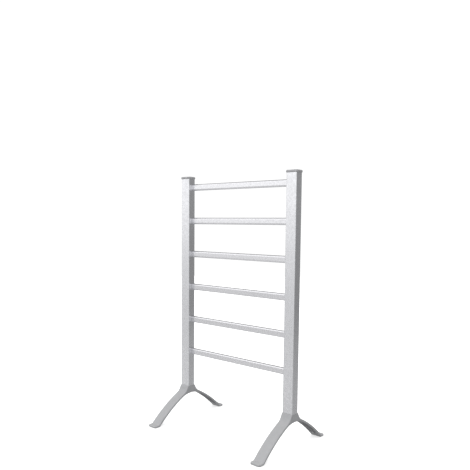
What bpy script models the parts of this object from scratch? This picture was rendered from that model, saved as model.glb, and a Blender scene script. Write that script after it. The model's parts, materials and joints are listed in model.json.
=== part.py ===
"""Free-standing electric towel warmer rack.

Two rectangular uprights stand on arched feet and carry six flat-oval heated rails. A heating cable runs through
all the rails in series. Its terminal block, thermal cutout, rocker switch and cord gland are in the right upright.

Frame: metres, +Z up, the floor at z = 0, the origin under the rack's centre, +X along the rails towards the
upright with the switch, and the front towards -Y.
"""

import math

import bmesh
import bpy
from mathutils import Vector

# ---------------------------------------------------------------- driving dimensions

# Uprights: rectangular tubes.
RACK_WIDTH = 0.520  # across the outer faces of the two uprights
UPRIGHT_LENGTH = 0.775
UPRIGHT_WIDTH = 0.040  # along X
UPRIGHT_DEPTH = 0.030  # along Y
UPRIGHT_WALL = 0.0015
UPRIGHT_CORNER = 0.0025

# Rails: flat-oval tubes that pass through slots in the uprights' inner walls.
RAIL_COUNT = 6
RAIL_HEIGHT = 0.024
RAIL_DEPTH = 0.012
RAIL_WALL = 0.0012
TOP_RAIL_DROP = 0.0315  # the uprights' top down to the top rail's centre
LOW_RAIL_RISE = 0.132  # the feet's shoulders up to the lowest rail's centre
RAIL_BACK_GAP = 0.002  # the rail's back to the upright's back wall
RAIL_END_GAP = 0.015  # the rail's end to the upright's outer wall, room for the cable's bend

# Plugs and screws that hold the rails.
PLUG_LENGTH = 0.018
PLUG_FLANGE = 0.0012
RAIL_SCREW_DIAMETER = 0.003
RAIL_SCREW_HEAD = 0.0066
RAIL_SCREW_HEAD_HEIGHT = 0.0022
RAIL_SCREW_FROM_END = 0.009
RAIL_SCREW_BITE = 0.007  # depth of the screw in its plug

# Feet: arched mouldings, a shallow crown under the upright and a longer arc down each leg.
FOOT_LENGTH = 0.360
FOOT_WIDTH = 0.0405
FOOT_THICKNESS = 0.0078
ARCH_HEIGHT = 0.0945
CROWN_RADIUS = 0.100
CROWN_ANGLE = math.radians(29.0)
LEG_RADIUS = 0.500
SHOULDER_HEIGHT = 0.122  # floor to the face that the upright stands on
HUB_MARGIN = 0.0022  # the hub's front and back stand proud of the upright by this
HUB_FILLET = 0.039
TOE_CLEARANCE = 0.001  # the floor to the toe's underside, which the pad bridges
TOE_THICKNESS = 0.0068
TOE_FILLET = 0.006
SPIGOT_HEIGHT = 0.012
CHANNEL_WEB = 0.0024
CHANNEL_WALL = 0.0026
CHANNEL_RIB = 0.0024
CHANNEL_START = math.radians(30.0)
CHANNEL_END_HEIGHT = 0.013
TOE_CORNER = 0.008  # seen from above
TOP_EDGE_ROUND = 0.003
LOW_EDGE_ROUND = 0.002
SHOULDER_EDGE_ROUND = 0.0008

# Pads under the toes.
PAD_LENGTH = 0.014  # along Y
PAD_WIDTH = 0.028
PAD_THICKNESS = 0.0024
PAD_FROM_TIP = 0.0105

# Plugs and screws that hold the feet.
FOOT_PLUG_HEIGHT = 0.020
FOOT_SCREW_DIAMETER = 0.005
FOOT_SCREW_HEAD = 0.009
FOOT_SCREW_HEAD_HEIGHT = 0.0035
FOOT_SCREW_SPACING = 0.015
FOOT_SCREW_SEAT = 0.0075  # arch underside up to the head's seat
FOOT_SCREW_BITE = 0.012

# Top caps.
CAP_HEIGHT = 0.0085
CAP_OVERHANG = 0.0022
CAP_EDGE_ROUND = 0.004
CAP_LOW_ROUND = 0.0008
CAP_SKIRT = 0.012
CAP_SKIRT_WALL = 0.002

# Rocker switch on the right upright's inner face.
SWITCH_RISE = 0.065  # the foot's shoulder up to the switch's centre
BEZEL_HEIGHT = 0.0300
BEZEL_WIDTH = 0.0215
BEZEL_PROUD = 0.002
HOUSING_HEIGHT = 0.0268
HOUSING_WIDTH = 0.0184
HOUSING_DEPTH = 0.016  # behind the upright's face
ROCKER_RADIUS = 0.0118  # from the pivot to the rocker's curved ends
ROCKER_WIDTH = 0.0146
ROCKER_TIP_RISE = 0.0075  # from the pivot's plane out to the rocker's ends
ROCKER_MIDDLE_RISE = 0.0057
ROCKER_TILT = math.radians(9.0)
PIVOT_DEPTH = 0.002  # behind the upright's face
PIVOT_DIAMETER = 0.0024
PIVOT_PIN = 0.0009  # how far each pin stands out of the rocker's side
POCKET_DEPTH = 0.0075  # behind the upright's face
TERMINAL_WIDTH = 0.0063
TERMINAL_THICKNESS = 0.0008
TERMINAL_LENGTH = 0.010
TERMINAL_SEAT = 0.003
TERMINAL_SPACING = 0.013

# Cord gland in the right upright's back wall.
GLAND_RISE = 0.041  # the foot's shoulder up to the gland's centre
GLAND_BARREL = 0.0120
GLAND_BORE = 0.0075
GLAND_FLANGE = 0.0170
GLAND_FLANGE_THICKNESS = 0.002
GLAND_DEPTH = 0.0055

# Cable, leads and electrical pieces inside the uprights.
CABLE_DIAMETER = 0.0036
CABLE_BEND = 0.0095
CABLE_WALL_GAP = 0.001
CABLE_CLEARANCE = 0.0004  # round the cable in the plugs' holes
LEAD_DIAMETER = 0.0020
BLOCK_SIDE_GAP = CABLE_WALL_GAP  # to the upright's side walls
BLOCK_DEPTH = 0.0200
BLOCK_HEIGHT = 0.022
CUTOUT_WIDTH = 0.0080
CUTOUT_DEPTH = 0.0055
CUTOUT_HEIGHT = 0.020
CUTOUT_DROP = 0.014  # the block's underside down to the cutout
CUTOUT_INSET = 0.008  # the bore's inner side to the cutout's centre
BLOCK_PLACE = 0.53  # share of the way up from the lowest rail to the next
BRIDGE_DROP = 0.25  # shares of the rail pitch: the top rail down to where the cable's return starts forwards
BRIDGE_RUN = 0.3  # and how far down it reaches its own plane
LEAD_STEP = 0.004  # how far a lead runs straight before it turns
LEAD_APPROACH = 0.006  # the same below the cutout
CHAMFER = 0.0006  # at the gland's rim and mouth
ROCKER_EDGE_ROUND = 0.0005
ROCKER_BACK_ANGLE = math.radians(105)  # from straight out to where the rocker's curved ends stop
ROCKER_TAIL = 0.55  # its narrow back as a share of its curved ends' spread
SHELL_STEPS = 24  # sides of larger round pieces

FIT_GAP = 0.0003  # between pieces that touch
PAST = 0.002  # how far a cutter runs past the face that it cuts
ROUND_STEPS = 16  # sides of small round pieces

# ---------------------------------------------------------------- places worked out from them

UPRIGHT_BASE = SHOULDER_HEIGHT + FIT_GAP
UPRIGHT_TOP = UPRIGHT_BASE + UPRIGHT_LENGTH
BORE_WIDTH = UPRIGHT_WIDTH - 2 * UPRIGHT_WALL
BORE_DEPTH = UPRIGHT_DEPTH - 2 * UPRIGHT_WALL
BORE_CORNER = max(UPRIGHT_CORNER - UPRIGHT_WALL, 0.0005)

TOP_RAIL = UPRIGHT_TOP - TOP_RAIL_DROP
LOW_RAIL = SHOULDER_HEIGHT + LOW_RAIL_RISE
RAIL_PITCH = (TOP_RAIL - LOW_RAIL) / (RAIL_COUNT - 1)
RAIL_HEIGHTS = [TOP_RAIL - RAIL_PITCH * i for i in range(RAIL_COUNT)]
RAIL_Y = UPRIGHT_DEPTH / 2 - UPRIGHT_WALL - RAIL_BACK_GAP - RAIL_DEPTH / 2
RAIL_OFFSET = (RAIL_HEIGHT - RAIL_DEPTH) / 2  # a rail's centre to the middle of its round edge

INNER_FACE = RACK_WIDTH / 2 - UPRIGHT_WIDTH  # |x| of the uprights' inner faces
UPRIGHT_X = RACK_WIDTH / 2 - UPRIGHT_WIDTH / 2
RAIL_END = RACK_WIDTH / 2 - UPRIGHT_WALL - RAIL_END_GAP
RAIL_SCREW_X = RAIL_END - RAIL_SCREW_FROM_END
CABLE_X = RACK_WIDTH / 2 - UPRIGHT_WALL - CABLE_WALL_GAP - CABLE_DIAMETER / 2
CABLE_RETURN_Y = -(UPRIGHT_DEPTH / 2 - UPRIGHT_WALL) / 2

SWITCH_Z = SHOULDER_HEIGHT + SWITCH_RISE
GLAND_Z = SHOULDER_HEIGHT + GLAND_RISE
BLOCK_Z = LOW_RAIL + RAIL_PITCH * BLOCK_PLACE
BLOCK_Y = (RAIL_Y + CABLE_RETURN_Y) / 2
CUTOUT_Z = BLOCK_Z - BLOCK_HEIGHT / 2 - CUTOUT_DROP - CUTOUT_HEIGHT / 2
CUTOUT_X = INNER_FACE + UPRIGHT_WALL + CUTOUT_INSET
TIP_Y = FOOT_LENGTH / 2
TOE_TOP = TOE_CLEARANCE + TOE_THICKNESS
PLUG_BASE = UPRIGHT_BASE + SPIGOT_HEIGHT + FIT_GAP
SIDES = (("left", -1), ("right", 1))
ENDS = (("front", -1), ("back", 1))
BLADES = (("supply", -1), ("load", 1))


# ---------------------------------------------------------------- outlines

def arc(centre, radius, start, end, steps):
    """Points on a circle from the angle start to the angle end, both ends included."""
    angles = [start + (end - start) * i / steps for i in range(steps + 1)]
    return [(centre[0] + radius * math.cos(a), centre[1] + radius * math.sin(a)) for a in angles]


def rounded_rectangle(width, height, corner, steps=3):
    """A rectangle about the origin with a quarter circle at each corner."""
    points = []
    for quarter, (sx, sy) in enumerate(((1, 1), (-1, 1), (-1, -1), (1, -1))):
        centre = (sx * (width / 2 - corner), sy * (height / 2 - corner))
        start = quarter * math.pi / 2
        points += arc(centre, corner, start, start + math.pi / 2, steps)
    return points


def upright_oval(height, depth, steps=7):
    """A flat oval standing on its end: two half circles of the depth joined by straight sides."""
    radius = depth / 2
    reach = height / 2 - radius
    return arc((0, reach), radius, 0, math.pi, steps) + arc((0, -reach), radius, math.pi, 2 * math.pi, steps)


def moved(points, across, up):
    return [(a + across, b + up) for a, b in points]


# ---------------------------------------------------------------- shape makers

PLANES = {
    "X": lambda a, b, along: Vector((along, a, b)),
    "Y": lambda a, b, along: Vector((a, along, b)),
    "Z": lambda a, b, along: Vector((a, b, along)),
}


def prism(outline, axis, start, end):
    """A bmesh of the outline, which lies across the axis, extruded along it from start to end."""
    shape = bmesh.new()
    place = PLANES[axis]
    face = shape.faces.new([shape.verts.new(place(a, b, start)) for a, b in outline])
    grown = bmesh.ops.extrude_face_region(shape, geom=[face])["geom"]
    step = place(0, 0, end) - place(0, 0, start)
    bmesh.ops.translate(shape, verts=[g for g in grown if isinstance(g, bmesh.types.BMVert)], vec=step)
    bmesh.ops.recalc_face_normals(shape, faces=shape.faces[:])
    return shape


def turned(profile, axis, centre, steps=ROUND_STEPS):
    """A bmesh of the profile, pairs of radius and distance along the axis, spun once round the axis."""
    shape = bmesh.new()
    direction = PLANES[axis](0, 0, 1)
    side = PLANES[axis](1, 0, 0)
    middle = Vector(centre)
    verts = [shape.verts.new(middle + side * radius + direction * along) for radius, along in profile]
    edges = [shape.edges.new(pair) for pair in zip(verts, verts[1:])]
    bmesh.ops.spin(
        shape, geom=verts + edges, cent=middle, axis=direction, angle=2 * math.pi, steps=steps, use_merge=True
    )
    bmesh.ops.remove_doubles(shape, verts=shape.verts[:], dist=1e-6)
    bmesh.ops.recalc_face_normals(shape, faces=shape.faces[:])
    return shape


def rod(radius, axis, centre, start, end, steps=ROUND_STEPS):
    """A plain round bar, from start to end along the axis."""
    return turned([(0, start), (radius, start), (radius, end), (0, end)], axis, centre, steps)


def as_mesh(shape, name):
    mesh = bpy.data.meshes.new(name)
    shape.to_mesh(mesh)
    shape.free()
    return mesh


def joined(shape, *others):
    """One bmesh that holds several, still as separate shells."""
    for other in others:
        mesh = as_mesh(other, "shell")
        shape.from_mesh(mesh)
        bpy.data.meshes.remove(mesh)
    return shape


def smooth(mesh, angle=35):
    mesh.shade_smooth()
    mesh.set_sharp_from_angle(angle=math.radians(angle))


def add_object(name, shape, material, location=(0, 0, 0), rotation=(0, 0, 0)):
    """A named object. The shape is a bmesh, or a mesh that another object has too."""
    mesh = shape
    if isinstance(shape, bmesh.types.BMesh):
        mesh = as_mesh(shape, name)
        smooth(mesh)
        mesh.materials.append(material)
    obj = bpy.data.objects.new(name, mesh)
    obj.location = location
    obj.rotation_euler = rotation
    bpy.context.scene.collection.objects.link(obj)
    return obj


def add_helper(name, shape):
    """A cutter or a filler for a Boolean, which isn't a piece of the rack."""
    helper = bpy.data.objects.new(name, as_mesh(shape, name))
    bpy.context.scene.collection.objects.link(helper)
    helper.hide_render = True
    helper.display_type = "WIRE"
    return helper


def boolean(obj, operation, shape, label, place=(0, 0, 0)):
    """Adds a Boolean with its own helper object, put at the place, to the piece."""
    modifier = obj.modifiers.new(label, "BOOLEAN")
    modifier.operation = operation
    modifier.solver = "EXACT"
    modifier.object = add_helper(f"{obj.name}_{label}", shape)
    modifier.object.location = place


def finished_mesh(obj, material):
    """The object's mesh with its modifiers carried out, for pieces that share one mesh. The object goes away."""
    graph = bpy.context.evaluated_depsgraph_get()
    mesh = bpy.data.meshes.new_from_object(obj.evaluated_get(graph))
    mesh.name = obj.name
    helpers = [m.object for m in obj.modifiers if m.type == "BOOLEAN"]
    for spent in helpers + [obj]:
        bpy.data.objects.remove(spent)
    mesh.materials.clear()
    mesh.materials.append(material)
    smooth(mesh)
    return mesh


def bevelled(obj, width, segments, angle=None):
    """A Bevel by the edges' own weights, or on the edges sharper than the angle."""
    modifier = obj.modifiers.new("rounding", "BEVEL")
    modifier.width = width
    modifier.segments = segments
    modifier.limit_method = "ANGLE" if angle else "WEIGHT"
    if angle:
        modifier.angle_limit = angle


# ---------------------------------------------------------------- materials

def make_material(name, colour, roughness, metallic):
    material = bpy.data.materials.new(name)
    material.use_nodes = True
    shader = material.node_tree.nodes["Principled BSDF"]
    shader.inputs["Base Color"].default_value = (*colour, 1)
    shader.inputs["Roughness"].default_value = roughness
    shader.inputs["Metallic"].default_value = metallic
    return material


def make_materials():
    return {
        "upright": make_material("satin_aluminium_upright", (0.68, 0.68, 0.70), 0.36, 1.0),
        "rail": make_material("satin_aluminium_rail", (0.74, 0.74, 0.76), 0.32, 1.0),
        "foot": make_material("grey_moulded_foot", (0.40, 0.41, 0.43), 0.50, 0.0),
        "cap": make_material("grey_moulded_cap", (0.33, 0.33, 0.35), 0.50, 0.0),
        "pad": make_material("dark_rubber_pad", (0.06, 0.06, 0.06), 0.85, 0.0),
        "screw": make_material("plated_steel_screw", (0.55, 0.55, 0.56), 0.30, 1.0),
        "foot_plug": make_material("cast_aluminium_plug", (0.60, 0.60, 0.61), 0.45, 1.0),
        "plug": make_material("white_heatproof_plug", (0.82, 0.81, 0.78), 0.60, 0.0),
        "housing": make_material("grey_switch_housing", (0.45, 0.46, 0.48), 0.40, 0.0),
        "rocker": make_material("grey_switch_rocker", (0.50, 0.51, 0.53), 0.30, 0.0),
        "terminal": make_material("brass_terminal", (0.78, 0.62, 0.30), 0.35, 1.0),
        "cable": make_material("silicone_heating_cable", (0.70, 0.18, 0.12), 0.60, 0.0),
        "lead": make_material("insulated_lead", (0.12, 0.20, 0.55), 0.55, 0.0),
        "block": make_material("ceramic_terminal_block", (0.88, 0.86, 0.82), 0.55, 0.0),
        "cutout": make_material("thermal_cutout_case", (0.15, 0.15, 0.15), 0.45, 0.0),
        "gland": make_material("dark_cord_gland", (0.10, 0.10, 0.11), 0.50, 0.0),
    }


# ---------------------------------------------------------------- uprights and caps

def rail_slot(side, height):
    """The slot in an upright's inner wall that a rail passes through."""
    outline = moved(upright_oval(RAIL_HEIGHT + 2 * FIT_GAP, RAIL_DEPTH + 2 * FIT_GAP), RAIL_Y, height)
    return prism(outline, "X", side * (INNER_FACE - PAST), side * (INNER_FACE + UPRIGHT_WALL + PAST))


def rail_screw_hole(side, height, depth_to):
    """A hole for a rail screw, from behind the upright forwards to the depth given."""
    centre = (side * RAIL_SCREW_X, 0, height - RAIL_OFFSET)
    return rod(RAIL_SCREW_DIAMETER / 2 + FIT_GAP, "Y", centre, depth_to, UPRIGHT_DEPTH / 2 + PAST, steps=12)


def switch_aperture():
    outline = moved(
        rounded_rectangle(HOUSING_WIDTH + 2 * FIT_GAP, HOUSING_HEIGHT + 2 * FIT_GAP, 0.001, steps=2), 0, SWITCH_Z
    )
    return prism(outline, "X", INNER_FACE - PAST, INNER_FACE + UPRIGHT_WALL + PAST)


def gland_aperture():
    wall = UPRIGHT_DEPTH / 2 - UPRIGHT_WALL
    return rod(GLAND_BARREL / 2 + FIT_GAP, "Y", (UPRIGHT_X, 0, GLAND_Z), wall - PAST, UPRIGHT_DEPTH / 2 + PAST, SHELL_STEPS)


def add_upright(name, side, material):
    outer = moved(rounded_rectangle(UPRIGHT_WIDTH, UPRIGHT_DEPTH, UPRIGHT_CORNER), side * UPRIGHT_X, 0)
    upright = add_object(name, prism(outer, "Z", UPRIGHT_BASE, UPRIGHT_TOP), material)
    bore = moved(rounded_rectangle(BORE_WIDTH, BORE_DEPTH, BORE_CORNER), side * UPRIGHT_X, 0)
    boolean(upright, "DIFFERENCE", prism(bore, "Z", UPRIGHT_BASE - PAST, UPRIGHT_TOP + PAST), "bore")
    slots = [rail_slot(side, height) for height in RAIL_HEIGHTS]
    boolean(upright, "DIFFERENCE", joined(*slots), "rail_slots")
    wall = UPRIGHT_DEPTH / 2 - UPRIGHT_WALL
    holes = [rail_screw_hole(side, height, wall - PAST / 2) for height in RAIL_HEIGHTS]
    if side > 0:
        holes += [gland_aperture(), switch_aperture()]
    boolean(upright, "DIFFERENCE", joined(*holes), "holes")


def cap_mesh(material):
    """A cap about its own centre: a plate with rounded edges on a thin skirt that fits the upright's bore."""
    width = UPRIGHT_WIDTH + 2 * CAP_OVERHANG
    depth = UPRIGHT_DEPTH + 2 * CAP_OVERHANG
    corner = UPRIGHT_CORNER + CAP_OVERHANG
    plate = prism(rounded_rectangle(width, depth, corner), "Z", 0, CAP_HEIGHT)
    weights = plate.edges.layers.float.new("bevel_weight_edge")
    for edge in plate.edges:
        heights = [v.co.z for v in edge.verts]
        if min(heights) > CAP_HEIGHT - FIT_GAP:
            edge[weights] = 1.0
        elif max(heights) < FIT_GAP:
            edge[weights] = CAP_LOW_ROUND / CAP_EDGE_ROUND
    cap = add_object("cap", plate, material)
    bevelled(cap, CAP_EDGE_ROUND, 4)
    outer_width = BORE_WIDTH - 2 * FIT_GAP
    outer_depth = BORE_DEPTH - 2 * FIT_GAP
    inner_width = outer_width - 2 * CAP_SKIRT_WALL
    inner_depth = outer_depth - 2 * CAP_SKIRT_WALL
    boolean(cap, "UNION", prism(rounded_rectangle(outer_width, outer_depth, 0.001), "Z", -CAP_SKIRT, PAST), "skirt")
    hollow = prism(rounded_rectangle(inner_width, inner_depth, 0.0005), "Z", -CAP_SKIRT - PAST, PAST)
    boolean(cap, "DIFFERENCE", hollow, "hollow")
    return finished_mesh(cap, material)


# ---------------------------------------------------------------- rails

def add_rail(number, height, material):
    outline = moved(upright_oval(RAIL_HEIGHT, RAIL_DEPTH), RAIL_Y, height)
    rail = add_object(f"rail_{number}", prism(outline, "X", -RAIL_END, RAIL_END), material)
    bore = moved(upright_oval(RAIL_HEIGHT - 2 * RAIL_WALL, RAIL_DEPTH - 2 * RAIL_WALL), RAIL_Y, height)
    boolean(rail, "DIFFERENCE", prism(bore, "X", -RAIL_END - PAST, RAIL_END + PAST), "bore")
    holes = [rail_screw_hole(side, height, RAIL_Y + RAIL_WALL) for _, side in SIDES]
    boolean(rail, "DIFFERENCE", joined(*holes), "screw_holes")


def rail_plug_mesh(side, material):
    """A plug about the middle of the rail's end face: a stem in the rail's bore and a flange against its end."""
    inset = 2 * (RAIL_WALL + FIT_GAP)
    stem = upright_oval(RAIL_HEIGHT - inset, RAIL_DEPTH - inset, steps=5)
    flange = upright_oval(RAIL_HEIGHT - 2 * FIT_GAP, RAIL_DEPTH - 2 * FIT_GAP, steps=5)
    flange_start = side * FIT_GAP
    flange_end = side * (FIT_GAP + PLUG_FLANGE)
    plug = add_object(f"plug_{side}", prism(flange, "X", flange_start, flange_end), material)
    overlap = flange_start + side * PLUG_FLANGE / 2
    boolean(plug, "UNION", prism(stem, "X", -side * PLUG_LENGTH, overlap), "stem")
    reach = PLUG_LENGTH + PAST
    cable_hole = rod(CABLE_DIAMETER / 2 + CABLE_CLEARANCE, "X", (0, 0, RAIL_OFFSET), -reach, reach, steps=10)
    boolean(plug, "DIFFERENCE", cable_hole, "cable_hole")
    depth_to = (RAIL_DEPTH - inset) / 2 - RAIL_SCREW_BITE - FIT_GAP
    screw_hole = rod(
        RAIL_SCREW_DIAMETER / 2 + FIT_GAP,
        "Y",
        (-side * RAIL_SCREW_FROM_END, 0, -RAIL_OFFSET),
        depth_to,
        RAIL_DEPTH,
        steps=8,
    )
    boolean(plug, "DIFFERENCE", screw_hole, "screw_hole")
    return finished_mesh(plug, material)


def screw_shape(diameter, length, head, head_height):
    """A pan-head screw along Y about its head's seat: the head towards +Y and a pointed shank towards -Y."""
    radius = diameter / 2
    edge = head / 2
    profile = [
        (0, -length),
        (radius, -length + diameter / 2),
        (radius, 0),
        (edge, 0),
        (edge, head_height / 2),
        (edge * 0.7, head_height),
        (0, head_height),
    ]
    return turned(profile, "Y", (0, 0, 0), steps=12)


def rail_screw_length():
    """The screw reaches from the upright's back face through both walls and its bite into the plug."""
    gaps = RAIL_BACK_GAP + 2 * FIT_GAP
    return UPRIGHT_WALL + RAIL_WALL + gaps + RAIL_SCREW_BITE


def add_rails(materials):
    plugs = {side: rail_plug_mesh(side, materials["plug"]) for _, side in SIDES}
    screw = as_mesh(
        screw_shape(RAIL_SCREW_DIAMETER, rail_screw_length(), RAIL_SCREW_HEAD, RAIL_SCREW_HEAD_HEIGHT), "rail_screw"
    )
    smooth(screw)
    screw.materials.append(materials["screw"])
    for number, height in enumerate(RAIL_HEIGHTS, start=1):
        add_rail(number, height, materials["rail"])
        for word, side in SIDES:
            add_object(f"{word}_rail_plug_{number}", plugs[side], None, (side * RAIL_END, RAIL_Y, height))
            seat = (side * RAIL_SCREW_X, UPRIGHT_DEPTH / 2 + FIT_GAP, height - RAIL_OFFSET)
            add_object(f"{word}_rail_screw_{number}", screw, None, seat)


# ---------------------------------------------------------------- feet

def leg_centre():
    """(y, z) of the centre of the leg's arc, which runs on from the crown's arc without a kink."""
    reach = LEG_RADIUS - CROWN_RADIUS
    return (-reach * math.sin(CROWN_ANGLE), ARCH_HEIGHT - CROWN_RADIUS - reach * math.cos(CROWN_ANGLE))


def from_upright(centre, radius, start, end, steps):
    """An arc whose angles are measured from straight up, growing towards +Y."""
    return arc(centre, radius, math.pi / 2 - start, math.pi / 2 - end, steps)


def circle_touching(centre, distance, across=None, up=None):
    """The point at that distance from the centre, on its +Y and +Z side, with one coordinate given."""
    if across is not None:
        return across, centre[1] + math.sqrt(distance**2 - (across - centre[0]) ** 2)
    return centre[0] + math.sqrt(distance**2 - (up - centre[1]) ** 2), up


def half_foot_outline():
    """The back half of the foot seen along X: under the crown and leg, round the toe, back over the leg and hub."""
    centre = leg_centre()
    top_radius = LEG_RADIUS + FOOT_THICKNESS
    low_end = math.acos((TOE_CLEARANCE - centre[1]) / LEG_RADIUS)
    under = from_upright((0, ARCH_HEIGHT - CROWN_RADIUS), CROWN_RADIUS, 0, CROWN_ANGLE, 6)
    under += from_upright(centre, LEG_RADIUS, CROWN_ANGLE, low_end, 7)[1:]
    toe = [(TIP_Y, TOE_CLEARANCE), (TIP_Y, TOE_TOP)]
    toe_fillet = circle_touching(centre, top_radius + TOE_FILLET, up=TOE_TOP + TOE_FILLET)
    toe_angle = math.atan2(toe_fillet[0] - centre[0], toe_fillet[1] - centre[1])
    toe += from_upright(toe_fillet, TOE_FILLET, math.pi, math.pi + toe_angle, 3)
    hub_face = UPRIGHT_DEPTH / 2 + HUB_MARGIN
    hub_fillet = circle_touching(centre, top_radius + HUB_FILLET, across=hub_face + HUB_FILLET)
    hub_angle = math.atan2(hub_fillet[0] - centre[0], hub_fillet[1] - centre[1])
    over = from_upright(centre, top_radius, toe_angle, hub_angle, 7)[1:-1]
    fillet_top = math.acos(min((SHOULDER_HEIGHT - hub_fillet[1]) / HUB_FILLET, 1.0))
    over += from_upright(hub_fillet, HUB_FILLET, math.pi + hub_angle, 2 * math.pi - fillet_top, 6)
    return under + toe + over


def foot_edge_round(edge):
    """The rounding of an edge of the plain foot: along its sides, and round the toes' tips."""
    at_tip = [abs(v.co.y) > TIP_Y - FIT_GAP for v in edge.verts]
    heights = [v.co.z for v in edge.verts]
    across = abs(edge.verts[0].co.x - edge.verts[1].co.x) > FIT_GAP
    if all(at_tip):
        if not across:
            return TOE_CORNER
        return TOP_EDGE_ROUND if heights[0] > TOE_CLEARANCE + FIT_GAP else SHOULDER_EDGE_ROUND
    if across:
        return 0.0
    if min(heights) > SHOULDER_HEIGHT - FIT_GAP:
        return SHOULDER_EDGE_ROUND
    outwards = sum((f.normal.z for f in edge.link_faces), 0.0)
    return LOW_EDGE_ROUND if outwards < 0 else TOP_EDGE_ROUND


def channel_cutters():
    """The hollows under both legs, one on each side of the middle rib."""
    centre = leg_centre()
    roof = LEG_RADIUS + FOOT_THICKNESS - CHANNEL_WEB
    end = math.acos((CHANNEL_END_HEIGHT - centre[1]) / LEG_RADIUS)
    outline = from_upright(centre, roof, CHANNEL_START, end, 6)
    outline += from_upright(centre, LEG_RADIUS - PAST, end, CHANNEL_START, 6)
    near = CHANNEL_RIB / 2
    far = FOOT_WIDTH / 2 - CHANNEL_WALL
    shapes = []
    for _, front_or_back in ENDS:
        leg = [(front_or_back * y, z) for y, z in outline]
        shapes += [prism(leg, "X", side * near, side * far) for _, side in SIDES]
    return shapes


def foot_mesh(material):
    """A foot about the point on the floor under its upright's centre."""
    half = half_foot_outline()
    mirrored = [(-y, z) for y, z in reversed(half)]
    plain = prism(half + mirrored[:-1], "X", -FOOT_WIDTH / 2, FOOT_WIDTH / 2)
    weights = plain.edges.layers.float.new("bevel_weight_edge")
    for edge in plain.edges:
        edge[weights] = foot_edge_round(edge) / TOE_CORNER
    foot = add_object("foot", plain, material)
    bevelled(foot, TOE_CORNER, 3)
    spigot = rounded_rectangle(BORE_WIDTH - 2 * FIT_GAP, BORE_DEPTH - 2 * FIT_GAP, 0.001)
    spigot_top = UPRIGHT_BASE + SPIGOT_HEIGHT
    boolean(foot, "UNION", prism(spigot, "Z", SHOULDER_HEIGHT - PAST, spigot_top), "spigot")
    boolean(foot, "DIFFERENCE", joined(*channel_cutters()), "channels")
    cuts = []
    for _, end in ENDS:
        place = (0, end * FOOT_SCREW_SPACING / 2, 0)
        seat = ARCH_HEIGHT + FOOT_SCREW_SEAT
        shank = FOOT_SCREW_DIAMETER / 2 + FIT_GAP
        head = FOOT_SCREW_HEAD / 2 + FIT_GAP
        profile = [
            (0, ARCH_HEIGHT - FOOT_SCREW_HEAD),
            (head, ARCH_HEIGHT - FOOT_SCREW_HEAD),
            (head, seat),
            (shank, seat),
            (shank, spigot_top + PAST),
            (0, spigot_top + PAST),
        ]
        cuts.append(turned(profile, "Z", place, steps=12))
        recess = moved(
            rounded_rectangle(PAD_WIDTH + 2 * FIT_GAP, PAD_LENGTH + 2 * FIT_GAP, 0.003), 0, end * (TIP_Y - PAD_FROM_TIP)
        )
        cuts.append(prism(recess, "Z", -PAST, PAD_THICKNESS + FIT_GAP))
    boolean(foot, "DIFFERENCE", joined(*cuts), "screw_and_pad_holes")
    return finished_mesh(foot, material)


def foot_plug_mesh(material):
    """A block for the upright's lower end, about the middle of its own underside, drilled for both screws."""
    block = rounded_rectangle(BORE_WIDTH - 2 * FIT_GAP, BORE_DEPTH - 2 * FIT_GAP, 0.001)
    plug = add_object("foot_plug", prism(block, "Z", 0, FOOT_PLUG_HEIGHT), material)
    holes = [
        rod(
            FOOT_SCREW_DIAMETER / 2 + FIT_GAP,
            "Z",
            (0, end * FOOT_SCREW_SPACING / 2, 0),
            -PAST,
            FOOT_SCREW_BITE + 2 * FIT_GAP,
            steps=12,
        )
        for _, end in ENDS
    ]
    boolean(plug, "DIFFERENCE", joined(*holes), "screw_holes")
    return finished_mesh(plug, material)


def pad_mesh(material):
    """A pad about its own centre on the floor."""
    pad = add_object("pad", prism(rounded_rectangle(PAD_WIDTH, PAD_LENGTH, 0.003), "Z", 0, PAD_THICKNESS), material)
    return finished_mesh(pad, material)


def add_feet(materials):
    foot = foot_mesh(materials["foot"])
    plug = foot_plug_mesh(materials["foot_plug"])
    pad = pad_mesh(materials["pad"])
    seat = ARCH_HEIGHT + FOOT_SCREW_SEAT - FIT_GAP
    length = PLUG_BASE + FOOT_SCREW_BITE - seat
    screw = as_mesh(screw_shape(FOOT_SCREW_DIAMETER, length, FOOT_SCREW_HEAD, FOOT_SCREW_HEAD_HEIGHT), "foot_screw")
    smooth(screw)
    screw.materials.append(materials["screw"])
    head_down = (-math.pi / 2, 0, 0)
    for word, side in SIDES:
        x = side * UPRIGHT_X
        add_object(f"{word}_foot", foot, None, (x, 0, 0))
        add_object(f"{word}_foot_plug", plug, None, (x, 0, PLUG_BASE))
        for place, end in ENDS:
            y = end * FOOT_SCREW_SPACING / 2
            add_object(f"{word}_foot_{place}_screw", screw, None, (x, y, seat), head_down)
            add_object(f"{word}_foot_{place}_pad", pad, None, (x, end * (TIP_Y - PAD_FROM_TIP), 0))


# ---------------------------------------------------------------- switch and gland

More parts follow.
